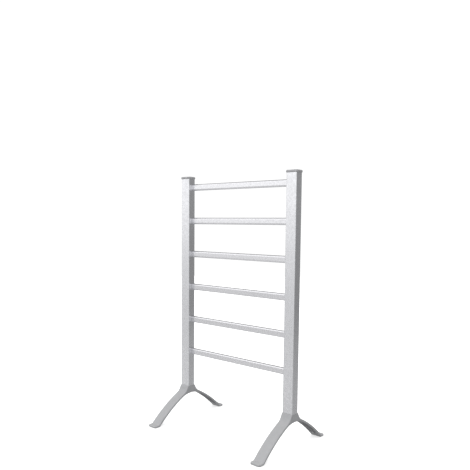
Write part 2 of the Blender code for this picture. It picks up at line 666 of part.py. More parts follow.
def add_switch_housing(material):
    """A bezel against the upright's inner face and a body behind it, with a pocket for the rocker."""
    face = INNER_FACE
    bezel = moved(rounded_rectangle(BEZEL_WIDTH, BEZEL_HEIGHT, 0.002), 0, SWITCH_Z)
    housing = add_object("switch_housing", prism(bezel, "X", face - BEZEL_PROUD, face - FIT_GAP), material)
    body = moved(rounded_rectangle(HOUSING_WIDTH, HOUSING_HEIGHT, 0.001, steps=2), 0, SWITCH_Z)
    boolean(housing, "UNION", prism(body, "X", face - BEZEL_PROUD / 2, face + HOUSING_DEPTH), "body")
    pocket = rounded_rectangle(ROCKER_WIDTH + 2 * FIT_GAP, 2 * (ROCKER_RADIUS + FIT_GAP), 0.0004, steps=1)
    pocket = prism(moved(pocket, 0, SWITCH_Z), "X", face - BEZEL_PROUD - PAST, face + POCKET_DEPTH)
    boolean(housing, "DIFFERENCE", pocket, "pocket")
    reach = ROCKER_WIDTH / 2 + PIVOT_PIN + FIT_GAP
    centre = (face + PIVOT_DEPTH, 0, SWITCH_Z)
    cuts = [rod(PIVOT_DIAMETER / 2 + FIT_GAP, "Y", centre, -reach, reach, steps=12)]
    for _, up_or_down in BLADES:
        slot = terminal_outline(FIT_GAP, up_or_down)
        cuts.append(prism(slot, "X", face + HOUSING_DEPTH - TERMINAL_SEAT - FIT_GAP, face + HOUSING_DEPTH + PAST))
    boolean(housing, "DIFFERENCE", joined(*cuts), "pivot_and_terminal_holes")


def terminal_outline(margin, up_or_down):
    """A flat blade seen along X."""
    half_width = TERMINAL_WIDTH / 2 + margin
    half_height = TERMINAL_THICKNESS / 2 + margin
    corners = [(-half_width, -half_height), (half_width, -half_height), (half_width, half_height)]
    corners.append((-half_width, half_height))
    return moved(corners, 0, SWITCH_Z + up_or_down * TERMINAL_SPACING / 2)


def add_terminals(material):
    start = INNER_FACE + HOUSING_DEPTH - TERMINAL_SEAT
    for word, up_or_down in BLADES:
        blade = prism(terminal_outline(0, up_or_down), "X", start, start + TERMINAL_LENGTH)
        add_object(f"switch_{word}_terminal", blade, material)


def add_rocker(material):
    """A rocker about its pivot axis: curved ends that keep their gap as it tips, and a shallow V between them."""
    tip = math.acos(ROCKER_TIP_RISE / ROCKER_RADIUS)
    ends = from_upright((0, 0), ROCKER_RADIUS, tip, ROCKER_BACK_ANGLE, 5)
    half = [(out, along) for along, out in ends]
    tail = (half[-1][0], half[-1][1] * ROCKER_TAIL)
    upper = [(ROCKER_MIDDLE_RISE, 0)] + half + [tail]
    lower = [(out, -along) for out, along in reversed(upper[1:])]
    outline = [(-out, along) for out, along in upper + lower]
    shape = prism(outline, "Y", -ROCKER_WIDTH / 2, ROCKER_WIDTH / 2)
    pivot = (INNER_FACE + PIVOT_DEPTH, 0, SWITCH_Z)
    rocker = add_object("switch_rocker", shape, material, pivot, (0, ROCKER_TILT, 0))
    bevelled(rocker, ROCKER_EDGE_ROUND, 2, math.radians(50))
    reach = ROCKER_WIDTH / 2 + PIVOT_PIN
    pins = rod(PIVOT_DIAMETER / 2, "Y", (0, 0, 0), -reach, reach, steps=12)
    boolean(rocker, "UNION", pins, "pins", pivot)


def add_gland(material):
    """A flanged bush in the upright's back wall, open right through for a cord."""
    face = UPRIGHT_DEPTH / 2
    bore = GLAND_BORE / 2
    barrel = GLAND_BARREL / 2
    flange = GLAND_FLANGE / 2
    inside = face - UPRIGHT_WALL - GLAND_DEPTH
    outside = face + FIT_GAP + GLAND_FLANGE_THICKNESS
    profile = [
        (bore, inside),
        (barrel, inside),
        (barrel, face + FIT_GAP),
        (flange, face + FIT_GAP),
        (flange, outside - CHAMFER),
        (flange - CHAMFER, outside),
        (bore + CHAMFER, outside),
        (bore, outside - CHAMFER),
        (bore, inside),
    ]
    shape = turned(profile, "Y", (UPRIGHT_X, 0, GLAND_Z), steps=SHELL_STEPS)
    add_object("cord_gland", shape, material)


# ---------------------------------------------------------------- cable, leads and what they join

def add_tube(name, points, diameter, material):
    """A round tube along the points, with closed ends."""
    curve = bpy.data.curves.new(name, "CURVE")
    curve.dimensions = "3D"
    curve.bevel_depth = diameter / 2
    curve.bevel_resolution = 2
    curve.use_fill_caps = True
    spline = curve.splines.new("POLY")
    spline.points.add(len(points) - 1)
    for target, point in zip(spline.points, points):
        target.co = (*point, 1)
    curve.materials.append(material)
    obj = bpy.data.objects.new(name, curve)
    bpy.context.scene.collection.objects.link(obj)


def rounded_route(corners, radius, steps=4):
    """The corners' own straight runs, with each corner between them replaced by an arc of the radius."""
    points = [Vector(corners[0])]
    for before, corner, after in zip(corners, corners[1:], corners[2:]):
        corner = Vector(corner)
        back = (Vector(before) - corner).normalized()
        ahead = (Vector(after) - corner).normalized()
        half_turn = back.angle(ahead) / 2
        middle = corner + (back + ahead).normalized() * (radius / math.sin(half_turn))
        start = corner + back * (radius / math.tan(half_turn)) - middle
        end = corner + ahead * (radius / math.tan(half_turn)) - middle
        points += [middle + start.slerp(end, i / steps) * radius for i in range(steps + 1)]
    points.append(Vector(corners[-1]))
    return points


def smooth_route(stops, steps=4):
    """A smooth curve through the stops, each stretch a cubic that leaves along its neighbours' chord."""
    stops = [Vector(s) for s in stops]
    padded = [stops[0]] + stops + [stops[-1]]
    points = []
    for a, b, c, d in zip(padded, padded[1:], padded[2:], padded[3:]):
        for i in range(steps):
            t = i / steps
            leave = (c - a) * 0.5
            arrive = (d - b) * 0.5
            cubic = b * (2 * t**3 - 3 * t**2 + 1) + c * (3 * t**2 - 2 * t**3)
            points.append(cubic + leave * (t**3 - 2 * t**2 + t) + arrive * (t**3 - t**2))
    points.append(stops[-1])
    return points


def cable_corners():
    """The heating cable's route: from the terminal block through the rails, lowest first, and back down."""
    block_top = BLOCK_Z + BLOCK_HEIGHT / 2 + FIT_GAP
    corners = [(CABLE_X, RAIL_Y, BLOCK_Z - BLOCK_HEIGHT / 2 - FIT_GAP)]
    side = 1
    for height in reversed(RAIL_HEIGHTS):
        level = height + RAIL_OFFSET
        corners += [(side * CABLE_X, RAIL_Y, level), (-side * CABLE_X, RAIL_Y, level)]
        side = -side
    bridge = TOP_RAIL - RAIL_PITCH * BRIDGE_DROP
    corners += [(CABLE_X, RAIL_Y, bridge), (CABLE_X, CABLE_RETURN_Y, bridge - RAIL_PITCH * BRIDGE_RUN)]
    corners.append((CABLE_X, CABLE_RETURN_Y, block_top))
    return corners


def add_electrics(materials):
    add_tube("heating_cable", rounded_route(cable_corners(), CABLE_BEND), CABLE_DIAMETER, materials["cable"])
    block_width = BORE_WIDTH - 2 * BLOCK_SIDE_GAP
    block = moved(rounded_rectangle(block_width, BLOCK_DEPTH, 0.001, steps=2), UPRIGHT_X, BLOCK_Y)
    low = BLOCK_Z - BLOCK_HEIGHT / 2
    add_object("terminal_block", prism(block, "Z", low, low + BLOCK_HEIGHT), materials["block"])
    cutout = moved(rounded_rectangle(CUTOUT_WIDTH, CUTOUT_DEPTH, 0.001, steps=2), CUTOUT_X, CABLE_RETURN_Y)
    cutout_low = CUTOUT_Z - CUTOUT_HEIGHT / 2
    cutout_high = cutout_low + CUTOUT_HEIGHT
    add_object("thermal_cutout", prism(cutout, "Z", cutout_low, cutout_high), materials["cutout"])

    gland_mouth = UPRIGHT_DEPTH / 2 - UPRIGHT_WALL - GLAND_DEPTH - FIT_GAP
    blade_end = INNER_FACE + HOUSING_DEPTH - TERMINAL_SEAT + TERMINAL_LENGTH + FIT_GAP
    supply_blade = SWITCH_Z - TERMINAL_SPACING / 2
    load_blade = SWITCH_Z + TERMINAL_SPACING / 2
    side_step = GLAND_BORE / 4
    supply = [
        (UPRIGHT_X - side_step, gland_mouth, GLAND_Z),
        (UPRIGHT_X - side_step / 2, gland_mouth - LEAD_STEP, GLAND_Z + LEAD_STEP / 4),
        (blade_end + LEAD_STEP, LEAD_STEP / 4, supply_blade - LEAD_STEP / 4),
        (blade_end + LEAD_DIAMETER / 2, 0, supply_blade),
    ]
    add_tube("supply_lead", smooth_route(supply), LEAD_DIAMETER, materials["lead"])
    neutral_x = CABLE_X - CABLE_DIAMETER - LEAD_DIAMETER
    neutral = [
        (UPRIGHT_X + side_step, gland_mouth, GLAND_Z),
        (UPRIGHT_X + side_step * 1.5, gland_mouth - LEAD_STEP, GLAND_Z + LEAD_STEP / 2),
        (neutral_x, CABLE_RETURN_Y * 0.7, GLAND_Z + 5 * LEAD_STEP),
        (neutral_x, CABLE_RETURN_Y, LOW_RAIL),
        (neutral_x, CABLE_RETURN_Y, low - FIT_GAP),
    ]
    add_tube("neutral_lead", smooth_route(neutral), LEAD_DIAMETER, materials["lead"])
    switched = [
        (blade_end + LEAD_DIAMETER / 2, 0, load_blade),
        (blade_end + LEAD_STEP, -LEAD_STEP / 4, load_blade + LEAD_STEP),
        (CUTOUT_X + LEAD_APPROACH, CABLE_RETURN_Y, (load_blade + cutout_low) / 2),
        (CUTOUT_X, CABLE_RETURN_Y, cutout_low - LEAD_APPROACH),
        (CUTOUT_X, CABLE_RETURN_Y, cutout_low - FIT_GAP),
    ]
    add_tube("switch_lead", smooth_route(switched), LEAD_DIAMETER, materials["lead"])
    protected = [(CUTOUT_X, CABLE_RETURN_Y, cutout_high + FIT_GAP), (CUTOUT_X, CABLE_RETURN_Y, low - FIT_GAP)]
    add_tube("cutout_lead", protected, LEAD_DIAMETER, materials["lead"])


# ---------------------------------------------------------------- the rack

def build():
    for obj in list(bpy.data.objects):
        bpy.data.objects.remove(obj)
    materials = make_materials()
    cap = cap_mesh(materials["cap"])
    for word, side in SIDES:
        add_upright(f"{word}_upright", side, materials["upright"])
        add_object(f"{word}_top_cap", cap, None, (side * UPRIGHT_X, 0, UPRIGHT_TOP + FIT_GAP))
    add_rails(materials)
    add_feet(materials)
    add_switch_housing(materials["housing"])
    add_terminals(materials["terminal"])
    add_rocker(materials["rocker"])
    add_gland(materials["gland"])
    add_electrics(materials)


build()
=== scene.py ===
"""Finished looks of a free-standing electric towel warmer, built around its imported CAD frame."""

import json
import math

import bmesh
import bpy
import numpy as np
from bpy.props import FloatProperty, FloatVectorProperty, PointerProperty
from mathutils import Matrix, Vector


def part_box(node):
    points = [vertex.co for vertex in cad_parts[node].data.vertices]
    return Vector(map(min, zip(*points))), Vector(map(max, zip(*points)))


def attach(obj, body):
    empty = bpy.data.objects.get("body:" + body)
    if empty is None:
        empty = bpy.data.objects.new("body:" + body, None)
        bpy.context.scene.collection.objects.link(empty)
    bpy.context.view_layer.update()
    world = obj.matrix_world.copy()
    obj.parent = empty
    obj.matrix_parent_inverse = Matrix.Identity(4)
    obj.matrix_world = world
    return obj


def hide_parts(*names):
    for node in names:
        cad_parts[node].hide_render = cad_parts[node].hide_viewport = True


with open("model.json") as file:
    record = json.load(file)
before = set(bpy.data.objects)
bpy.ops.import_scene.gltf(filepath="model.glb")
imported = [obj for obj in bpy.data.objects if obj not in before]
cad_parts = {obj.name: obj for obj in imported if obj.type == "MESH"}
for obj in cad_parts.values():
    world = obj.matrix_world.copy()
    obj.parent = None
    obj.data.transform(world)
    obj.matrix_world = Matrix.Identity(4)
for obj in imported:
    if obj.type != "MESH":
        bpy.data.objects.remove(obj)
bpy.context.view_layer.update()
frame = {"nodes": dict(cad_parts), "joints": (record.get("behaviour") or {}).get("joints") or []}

bl_info = {
    "name": "Towel Warmer Finish",
    "version": (1, 0, 0),
    "blender": (4, 5, 0),
    "location": "View3D > Sidebar > Towel Warmer",
    "description": "Builds the finished pieces, materials and stage of a free-standing towel warmer",
    "category": "Object",
}

MM = 0.001
SIDES = ("left", "right")
ENDS = ("front", "back")
RAIL_NUMBERS = [i + 1 for i in range(sum(name.startswith("rail_") for name in frame["nodes"]))]
SHARP = math.radians(38)  # a fold steeper than this shades crisp
FLAT_SUPPORT = 0.3 * MM  # a flat has points this far inside its ends, and three times as far
RING_SUPPORT = 0.15 * MM  # the same on small pieces
LIP_SHARE = 0.2  # how much of a tube's wall its eased lip takes
CUT_PAST = 3 * MM  # how far a cutter reaches past a thin wall


# ---------------------------------------------------------------- boxes of the frame's nodes

def box_of(node):
    """The node's lowest and highest corners at rest, as arrays."""
    low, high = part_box(node)
    return np.array(low, float), np.array(high, float)


def centre_of(node):
    low, high = box_of(node)
    return (low + high) / 2


def size_of(node):
    low, high = box_of(node)
    return high - low


# ---------------------------------------------------------------- outlines and grids, as whole arrays

def arc(centre, radius, start, end, count):
    """Points centre + radius * (cos a, sin a), with a running evenly from start to end."""
    angle = np.linspace(start, end, count)
    return np.column_stack((centre[0] + radius * np.cos(angle), centre[1] + radius * np.sin(angle)))


def rounded_outline(width, height, corner, steps, support=0.0):
    """Rounded rectangle, anticlockwise: for each quarter k, its corner's centre plus corner * (cos a, sin a), with a
    from k to k + 1 quarter turns. With a support, each straight side also has points that far inside its ends, and
    three times as far, so that its flat stays flat."""
    parts = []
    for quarter, (sx, sy) in enumerate(((1, 1), (-1, 1), (-1, -1), (1, -1))):
        middle = (sx * (width / 2 - corner), sy * (height / 2 - corner))
        start = quarter * math.pi / 2
        bend = arc(middle, corner, start, start + math.pi / 2, steps)
        if support:
            along = np.array((-math.sin(start), math.cos(start))) * support
            away = np.array((-math.cos(start), -math.sin(start))) * support
            bend = np.vstack((bend[:1] - 3 * along, bend[:1] - along, bend, bend[-1:] + away, bend[-1:] + 3 * away))
        parts.append(bend)
    return np.vstack(parts)


def oval_outline(height, depth, steps):
    """Flat oval standing on end: two half circles of the depth, their centres half of height - depth up and down."""
    radius = depth / 2
    reach = (height - depth) / 2
    near = np.array(((radius, reach - 3 * FLAT_SUPPORT), (radius, reach - FLAT_SUPPORT)))
    upper = np.vstack((near, arc((0, reach), radius, 0, math.pi, steps), near[::-1] * (-1, 1)))
    return np.vstack((upper, -upper))


def on_plane(flat, axis, along):
    """Puts (n, 2) plane points into space across the axis, at the distance along it."""
    first, second = flat[..., 0], flat[..., 1]
    along = np.broadcast_to(along, first.shape)
    order = {"X": (along, first, second), "Y": (first, along, second), "Z": (first, second, along)}[axis]
    return np.stack(order, axis=-1)


def grid_faces(rows, columns, wrap_rows, wrap_columns):
    """Quads (i, j), (i, j + 1), (i + 1, j + 1), (i + 1, j) of a grid, with the last joined to the first if wrapped."""
    i = np.arange(rows if wrap_rows else rows - 1)[:, None]
    j = np.arange(columns if wrap_columns else columns - 1)[None, :]
    after_i = (i + 1) % rows
    after_j = (j + 1) % columns
    quads = (i * columns + j, i * columns + after_j, after_i * columns + after_j, after_i * columns + j)
    return np.stack(np.broadcast_arrays(*quads), axis=-1).reshape(-1, 4)


def mesh_from_arrays(name, points, quads):
    mesh = bpy.data.meshes.new(name)
    mesh.vertices.add(len(points))
    mesh.vertices.foreach_set("co", np.asarray(points, np.float32).ravel())
    mesh.loops.add(quads.size)
    mesh.loops.foreach_set("vertex_index", quads.ravel().astype(np.int32))
    mesh.polygons.add(len(quads))
    mesh.polygons.foreach_set("loop_start", np.arange(0, quads.size, 4, dtype=np.int32))
    mesh.update(calc_edges=True)
    return mesh


def link(obj):
    bpy.context.scene.collection.objects.link(obj)
    return obj


def clean(mesh):
    """Merges the points of poles and seams, and turns every face outwards."""
    work = bmesh.new()
    work.from_mesh(mesh)
    bmesh.ops.remove_doubles(work, verts=work.verts[:], dist=1e-6)
    bmesh.ops.dissolve_degenerate(work, edges=work.edges[:], dist=1e-7)
    bmesh.ops.recalc_face_normals(work, faces=work.faces[:])
    if work.calc_volume(signed=True) < 0:
        bmesh.ops.reverse_faces(work, faces=work.faces[:])
    work.to_mesh(mesh)
    work.free()
    mesh.shade_smooth()
    mesh.set_sharp_from_angle(angle=SHARP)


def surface(name, grid, wrap_rows=False):
    """One closed object from a (rows, columns, 3) grid whose columns go round it. Unless the rows are wrapped too,
    its first and last rows are drawn together to their middles."""
    if not wrap_rows:
        first = np.broadcast_to(grid[:1].mean(axis=1, keepdims=True), grid[:1].shape)
        last = np.broadcast_to(grid[-1:].mean(axis=1, keepdims=True), grid[-1:].shape)
        grid = np.concatenate((first, grid, last))
    rows, columns = grid.shape[:2]
    mesh = mesh_from_arrays(name, grid.reshape(-1, 3), grid_faces(rows, columns, wrap_rows, True))
    clean(mesh)
    return link(bpy.data.objects.new(name, mesh))


def carried(outline, axis, stations):
    """The outline carried along the axis to each station: P(i, j) = outline(j) at station(i)."""
    stations = np.asarray(stations)[:, None]
    flat = np.broadcast_to(outline, (len(stations), *outline.shape))
    return on_plane(flat, axis, stations)


def tube_grid(outer, inner, axis, low, high, edge):
    """A tube: the outer outline from low to high and the inner one back, each end's lip eased by the edge."""
    ease = outer + (inner - outer) * LIP_SHARE
    stack = np.stack((outer, outer, ease, inner, inner, ease))
    stations = np.array((low + edge, high - edge, high, high, low, low))[:, None]
    return on_plane(stack, axis, stations)


def turned(profile, axis, centre, steps):
    """The profile, rows of (radius, along), turned round the axis: P(i, a) = along(i) + radius(i) * (cos a, sin a)."""
    profile = np.asarray(profile, float)
    angle = np.linspace(0, 2 * math.pi, steps, endpoint=False)
    circle = np.column_stack((np.cos(angle), np.sin(angle)))
    flat = profile[:, :1, None] * circle[None]
    return on_plane(flat, axis, profile[:, 1:]) + np.array(centre)


def ring_stack(rings, axis, centre, steps=8):
    """Rounded rectangles on top of each other: each ring is (width, height, corner, along)."""
    grids = [
        on_plane(rounded_outline(width, height, corner, steps, RING_SUPPORT), axis, np.float64(along))
        for width, height, corner, along in rings
    ]
    return np.stack(grids) + np.array(centre)


def cut(obj, cutters, operation="DIFFERENCE"):
    """Takes the closed cutters out of the piece, or joins them to it, and leaves a plain mesh."""
    for cutter in cutters:
        modifier = obj.modifiers.new("cut", "BOOLEAN")
        modifier.operation = operation
        modifier.solver = "EXACT"
        modifier.object = cutter
    graph = bpy.context.evaluated_depsgraph_get()
    obj.data = bpy.data.meshes.new_from_object(obj.evaluated_get(graph))
    obj.modifiers.clear()
    for cutter in cutters:
        bpy.data.objects.remove(cutter)
    obj.data.shade_smooth()
    obj.data.set_sharp_from_angle(angle=SHARP)


def settle(obj, material, node, body="frame"):
    """Gives the piece its finish and its body, and hides the frame's node that it stands for."""
    obj.data.materials.clear()
    obj.data.materials.append(material)
    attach(obj, body)
    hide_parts(node)


# ---------------------------------------------------------------- shader effects, each a group made once

WORN_BEND = (0.511, 0.526)  # the bend at which wear starts, and at which it is full. A flat has 0.5
NOISE_MIDDLE = (0.3, 0.7)  # the span that most of a noise's values lie in
PATCH_SPAN = (0.2, 0.8)  # the same for the handling patches
UPRIGHT_DUST = (0.62, 0.61, 0.58)
MOULDING_DUST = (0.60, 0.59, 0.56)
SOFT_DUST = (0.5, 0.49, 0.47)

def group_input(group, name, default, low=0.0, high=1000.0, kind="NodeSocketFloat"):
    socket = group.interface.new_socket(name=name, in_out="INPUT", socket_type=kind)
    socket.default_value = default
    if kind == "NodeSocketFloat":
        socket.min_value = low
        socket.max_value = high


def new_group(name, inputs, outputs):
    """A shader group with float or vector inputs and float outputs. Returns its tree, input and output nodes."""
    group = bpy.data.node_groups.new(name, "ShaderNodeTree")
    for label, default in inputs.items():
        kind = "NodeSocketVector" if isinstance(default, tuple) else "NodeSocketFloat"
        group_input(group, label, default, kind=kind)
    for label in outputs:
        group.interface.new_socket(name=label, in_out="OUTPUT", socket_type="NodeSocketFloat")
    return group, group.nodes.new("NodeGroupInput"), group.nodes.new("NodeGroupOutput")


def add_node(tree, kind, settings=None, **inputs):
    """A node with its settings and inputs filled in. An input that is a socket is linked, any other is a value."""
    node = tree.nodes.new(kind)
    for key, value in (settings or {}).items():
        setattr(node, key, value)
    for key, value in inputs.items():
        socket = node.inputs[int(key[1:])] if key[0] == "i" and key[1:].isdigit() else node.inputs[key]
        if isinstance(value, bpy.types.NodeSocket):
            tree.links.new(value, socket)
        else:
            socket.default_value = value
    return node


def maths(tree, operation, first, second=0.0):
    return add_node(tree, "ShaderNodeMath", {"operation": operation}, i0=first, i1=second).outputs[0]


def remap(tree, value, low, high, to_low=0.0, to_high=1.0):
    """The value taken from low...high to to_low...to_high, and held at the ends."""
    ends = {"From Min": low, "From Max": high, "To Min": to_low, "To Max": to_high}
    return add_node(tree, "ShaderNodeMapRange", Value=value, **ends).outputs[0]


def mix_values(tree, share, first, second):
    return add_node(tree, "ShaderNodeMix", {"data_type": "FLOAT"}, i0=share, i2=first, i3=second).outputs[0]


def object_point(tree):
    return tree.nodes.new("ShaderNodeTexCoord").outputs["Object"]


def noise(tree, scale, detail, place=None, **inputs):
    """A noise texture's value, at the object's own coordinates unless a place is given."""
    if place is None:
        place = object_point(tree)
    return add_node(tree, "ShaderNodeTexNoise", Vector=place, Scale=scale, Detail=detail, **inputs).outputs[0]


def grain_group():
    """Drawn grain: noise squeezed across the draw direction and stretched along it, fine over coarse."""
    inputs = {"Stretch": (1.0, 1.0, 1.0), "Coarse": 0.35}
    group, given, out = new_group("drawn_grain", inputs, ("Grain", "Height"))
    settings = {"operation": "MULTIPLY"}
    place = add_node(group, "ShaderNodeVectorMath", settings, i0=object_point(group), i1=given.outputs[0]).outputs[0]
    fine = noise(group, 1.0, 5.0, place, Roughness=0.65)
    wide_place = add_node(group, "ShaderNodeVectorMath", {"operation": "SCALE"}, i0=place, Scale=0.16)
    wide = noise(group, 1.0, 3.0, wide_place.outputs[0])
    group.links.new(mix_values(group, given.outputs["Coarse"], fine, wide), out.inputs["Grain"])
    group.links.new(fine, out.inputs["Height"])


def handling_group():
    """Soft patches where hands and towels have polished or dulled a surface."""
    group, given, out = new_group("handling", {"Patches": 14.0, "Contrast": 0.5}, ("Mask",))
    middle = maths(group, "SUBTRACT", noise(group, given.outputs[0], 3.0), 0.5)
    scaled = maths(group, "MULTIPLY", middle, given.outputs["Contrast"])
    group.links.new(maths(group, "ADD", scaled, 0.5), out.inputs["Mask"])


def dust_group():
    """A thin settled dust on what faces up, thicker in patches."""
    group, given, out = new_group("settled_dust", {"Amount": 0.2, "Patches": 60.0}, ("Mask",))
    normal = group.nodes.new("ShaderNodeNewGeometry").outputs["Normal"]
    up = add_node(group, "ShaderNodeSeparateXYZ", i0=normal).outputs["Z"]
    patchy = maths(group, "MULTIPLY", remap(group, up, 0.6, 1.0), noise(group, given.outputs["Patches"], 4.0))
    group.links.new(maths(group, "MULTIPLY", patchy, given.outputs["Amount"]), out.inputs["Mask"])


def pebble_group():
    """Moulded texture: the rounded cells of a spark-eroded mould with a fine noise over them."""
    inputs = {"Fineness": 1400.0, "Grit": 0.4}
    group, given, out = new_group("moulded_texture", inputs, ("Height", "Value"))
    cell_inputs = {"Vector": object_point(group), "Scale": given.outputs[0], "Smoothness": 0.6}
    cells = add_node(group, "ShaderNodeTexVoronoi", {"feature": "SMOOTH_F1"}, **cell_inputs).outputs[0]
    grit = noise(group, maths(group, "MULTIPLY", given.outputs[0], 2.3), 3.0)
    group.links.new(mix_values(group, given.outputs["Grit"], cells, grit), out.inputs["Height"])
    group.links.new(noise(group, 22.0, 2.0), out.inputs["Value"])


def wear_group():
    """Edges rubbed by use: where the surface bends outwards, broken up by noise."""
    group, given, out = new_group("edge_wear", {"Amount": 0.5, "Breakup": 220.0}, ("Mask",))
    bend = group.nodes.new("ShaderNodeNewGeometry").outputs["Pointiness"]
    edge = remap(group, bend, *WORN_BEND)
    broken = remap(group, noise(group, given.outputs["Breakup"], 4.0), 0.4, 0.62)
    rubbed = maths(group, "MULTIPLY", edge, broken)
    group.links.new(maths(group, "MULTIPLY", rubbed, given.outputs["Amount"]), out.inputs["Mask"])


def use_group(tree, name, **inputs):
    node = tree.nodes.new("ShaderNodeGroup")
    node.node_tree = bpy.data.node_groups[name]
    for key, value in inputs.items():
        node.inputs[key].default_value = value
    return node


# ---------------------------------------------------------------- materials

def new_material(name, metallic=0.0, specular=0.5):
    """A material with a Principled shader. Returns the material, its tree and the shader."""
    material = bpy.data.materials.new(name)
    material.use_nodes = True
    shader = material.node_tree.nodes["Principled BSDF"]
    shader.inputs["Metallic"].default_value = metallic
    shader.inputs["Specular IOR Level"].default_value = specular
    return material, material.node_tree, shader


def blend_colours(tree, factor, first, second):
    node = add_node(tree, "ShaderNodeMix", {"data_type": "RGBA"}, i0=factor)
    for socket, value in ((node.inputs[6], first), (node.inputs[7], second)):
        if isinstance(value, bpy.types.NodeSocket):
            tree.links.new(value, socket)
        else:
            socket.default_value = (*value, 1.0)
    return node.outputs[2]


def shade(colour, factor):
    return tuple(min(c * factor, 1.0) for c in colour)


def set_bump(tree, shader, height, depth, strength):
    bump = add_node(tree, "ShaderNodeBump", Height=height, Distance=depth, Strength=strength)
    tree.links.new(bump.outputs[0], shader.inputs["Normal"])


def anodised_aluminium(name, colour, roughness, draw_axis):
    """Satin anodised extrusion: lengthwise die grain in colour, roughness and relief, smudges, and brighter edges."""
    material, tree, shader = new_material(name, metallic=1.0)
    across, along = 900.0, 7.0  # waves a metre
    stretch = [across, across, across]
    stretch["XYZ".index(draw_axis)] = along
    grain = use_group(tree, "drawn_grain", Stretch=tuple(stretch), Coarse=0.45)
    hands = use_group(tree, "handling", Patches=9.0, Contrast=0.7)
    wear = use_group(tree, "edge_wear", Amount=0.55, Breakup=160.0)
    dust = use_group(tree, "settled_dust", Amount=0.25, Patches=45.0)
    tone = remap(tree, grain.outputs["Grain"], *NOISE_MIDDLE)
    drawn = blend_colours(tree, tone, shade(colour, 0.975), shade(colour, 1.02))
    worn = blend_colours(tree, wear.outputs[0], drawn, shade(colour, 1.18))
    tree.links.new(blend_colours(tree, dust.outputs[0], worn, UPRIGHT_DUST), shader.inputs["Base Color"])
    streaks = remap(tree, grain.outputs["Grain"], *NOISE_MIDDLE, roughness - 0.02, roughness + 0.03)
    rough = maths(tree, "ADD", streaks, remap(tree, hands.outputs[0], *PATCH_SPAN, -0.035, 0.035))
    set_roughness(tree, shader, rough, wear, 0.08, dust, 0.5)
    set_bump(tree, shader, grain.outputs["Height"], 0.00003, 0.12)
    return material


def set_roughness(tree, shader, rough, wear, polish, dust, dulling):
    """The roughness, less where wear has polished and more where dust has dulled."""
    rubbed = maths(tree, "SUBTRACT", rough, maths(tree, "MULTIPLY", wear.outputs[0], polish))
    dusted = maths(tree, "ADD", rubbed, maths(tree, "MULTIPLY", dust.outputs[0], dulling))
    tree.links.new(dusted, shader.inputs["Roughness"])


def moulded(name, colour, roughness, fineness=1400.0, relief=0.00005):
    """Grey moulding with a fine eroded texture, painted shade in the texture's pits, slow tone changes, paler rubbed
    edges and a little dust on top.
    """
    material, tree, shader = new_material(name, specular=0.45)
    texture = use_group(tree, "moulded_texture", Fineness=fineness, Grit=0.4)
    wear = use_group(tree, "edge_wear", Amount=0.5, Breakup=260.0)
    dust = use_group(tree, "settled_dust", Amount=0.3, Patches=70.0)
    hands = use_group(tree, "handling", Patches=18.0, Contrast=0.8)
    tone = remap(tree, texture.outputs["Value"], *NOISE_MIDDLE)
    mottled = blend_colours(tree, tone, shade(colour, 0.95), shade(colour, 1.05))
    # Painted shade: the colour is darkened by up to 7 percent where the texture's height is low, as if its pits were
    # shaded.
    pit_shade = remap(tree, texture.outputs["Height"], 0.1, 0.7)
    pit_shaded = blend_colours(tree, pit_shade, shade(colour, 0.93), mottled)
    worn = blend_colours(tree, wear.outputs[0], pit_shaded, shade(colour, 1.3))
    tree.links.new(blend_colours(tree, dust.outputs[0], worn, MOULDING_DUST), shader.inputs["Base Color"])
    base = remap(tree, hands.outputs[0], *PATCH_SPAN, roughness - 0.06, roughness + 0.06)
    set_roughness(tree, shader, base, wear, 0.12, dust, 0.4)
    set_bump(tree, shader, texture.outputs["Height"], relief, 0.5)
    return material


def plated_steel(name, colour, roughness):
    """Zinc plate: slight spangle in tone, turned marks in relief, rubbed edges."""
    material, tree, shader = new_material(name, metallic=1.0)
    spangle = add_node(tree, "ShaderNodeTexVoronoi", Vector=object_point(tree), Scale=1100.0).outputs[0]
    mottled = blend_colours(tree, remap(tree, spangle, 0.0, 0.8), shade(colour, 0.9), shade(colour, 1.08))
    wear = use_group(tree, "edge_wear", Amount=0.6, Breakup=500.0)
    tree.links.new(blend_colours(tree, wear.outputs[0], mottled, shade(colour, 1.3)), shader.inputs["Base Color"])
    rough = remap(tree, spangle, 0.0, 0.8, roughness - 0.06, roughness + 0.08)
    tree.links.new(rough, shader.inputs["Roughness"])
    set_bump(tree, shader, noise(tree, 3000.0, 3.0), 0.00002, 0.3)
    return material


def plain_metal(name, colour, roughness):
    """Cast or rolled metal inside the rack: noise in tone, roughness and relief."""
    material, tree, shader = new_material(name, metallic=1.0)
    cast = noise(tree, 420.0, 6.0)
    tone = remap(tree, cast, *NOISE_MIDDLE)
    tree.links.new(blend_colours(tree, tone, shade(colour, 0.86), shade(colour, 1.1)), shader.inputs["Base Color"])
    rough = remap(tree, cast, *NOISE_MIDDLE, roughness - 0.08, roughness + 0.1)
    tree.links.new(rough, shader.inputs["Roughness"])
    set_bump(tree, shader, cast, 0.00008, 0.4)
    return material


def soft_polymer(name, colour, roughness):
    """Rubber, silicone and wire insulation: talc-like bloom and a faint extruded texture."""
    material, tree, shader = new_material(name, specular=0.35)
    bloom = use_group(tree, "handling", Patches=120.0, Contrast=0.9).outputs[0]
    dust = use_group(tree, "settled_dust", Amount=0.3, Patches=150.0)
    tone = remap(tree, bloom, *PATCH_SPAN)
    bloomed = blend_colours(tree, tone, shade(colour, 0.85), shade(colour, 1.2))
    tree.links.new(blend_colours(tree, dust.outputs[0], bloomed, SOFT_DUST), shader.inputs["Base Color"])
    rough = remap(tree, bloom, *PATCH_SPAN, roughness - 0.08, roughness + 0.08)
    tree.links.new(rough, shader.inputs["Roughness"])
    set_bump(tree, shader, noise(tree, 1800.0, 4.0), 0.00005, 0.4)
    return material


# ---------------------------------------------------------------- uprights, rails and caps

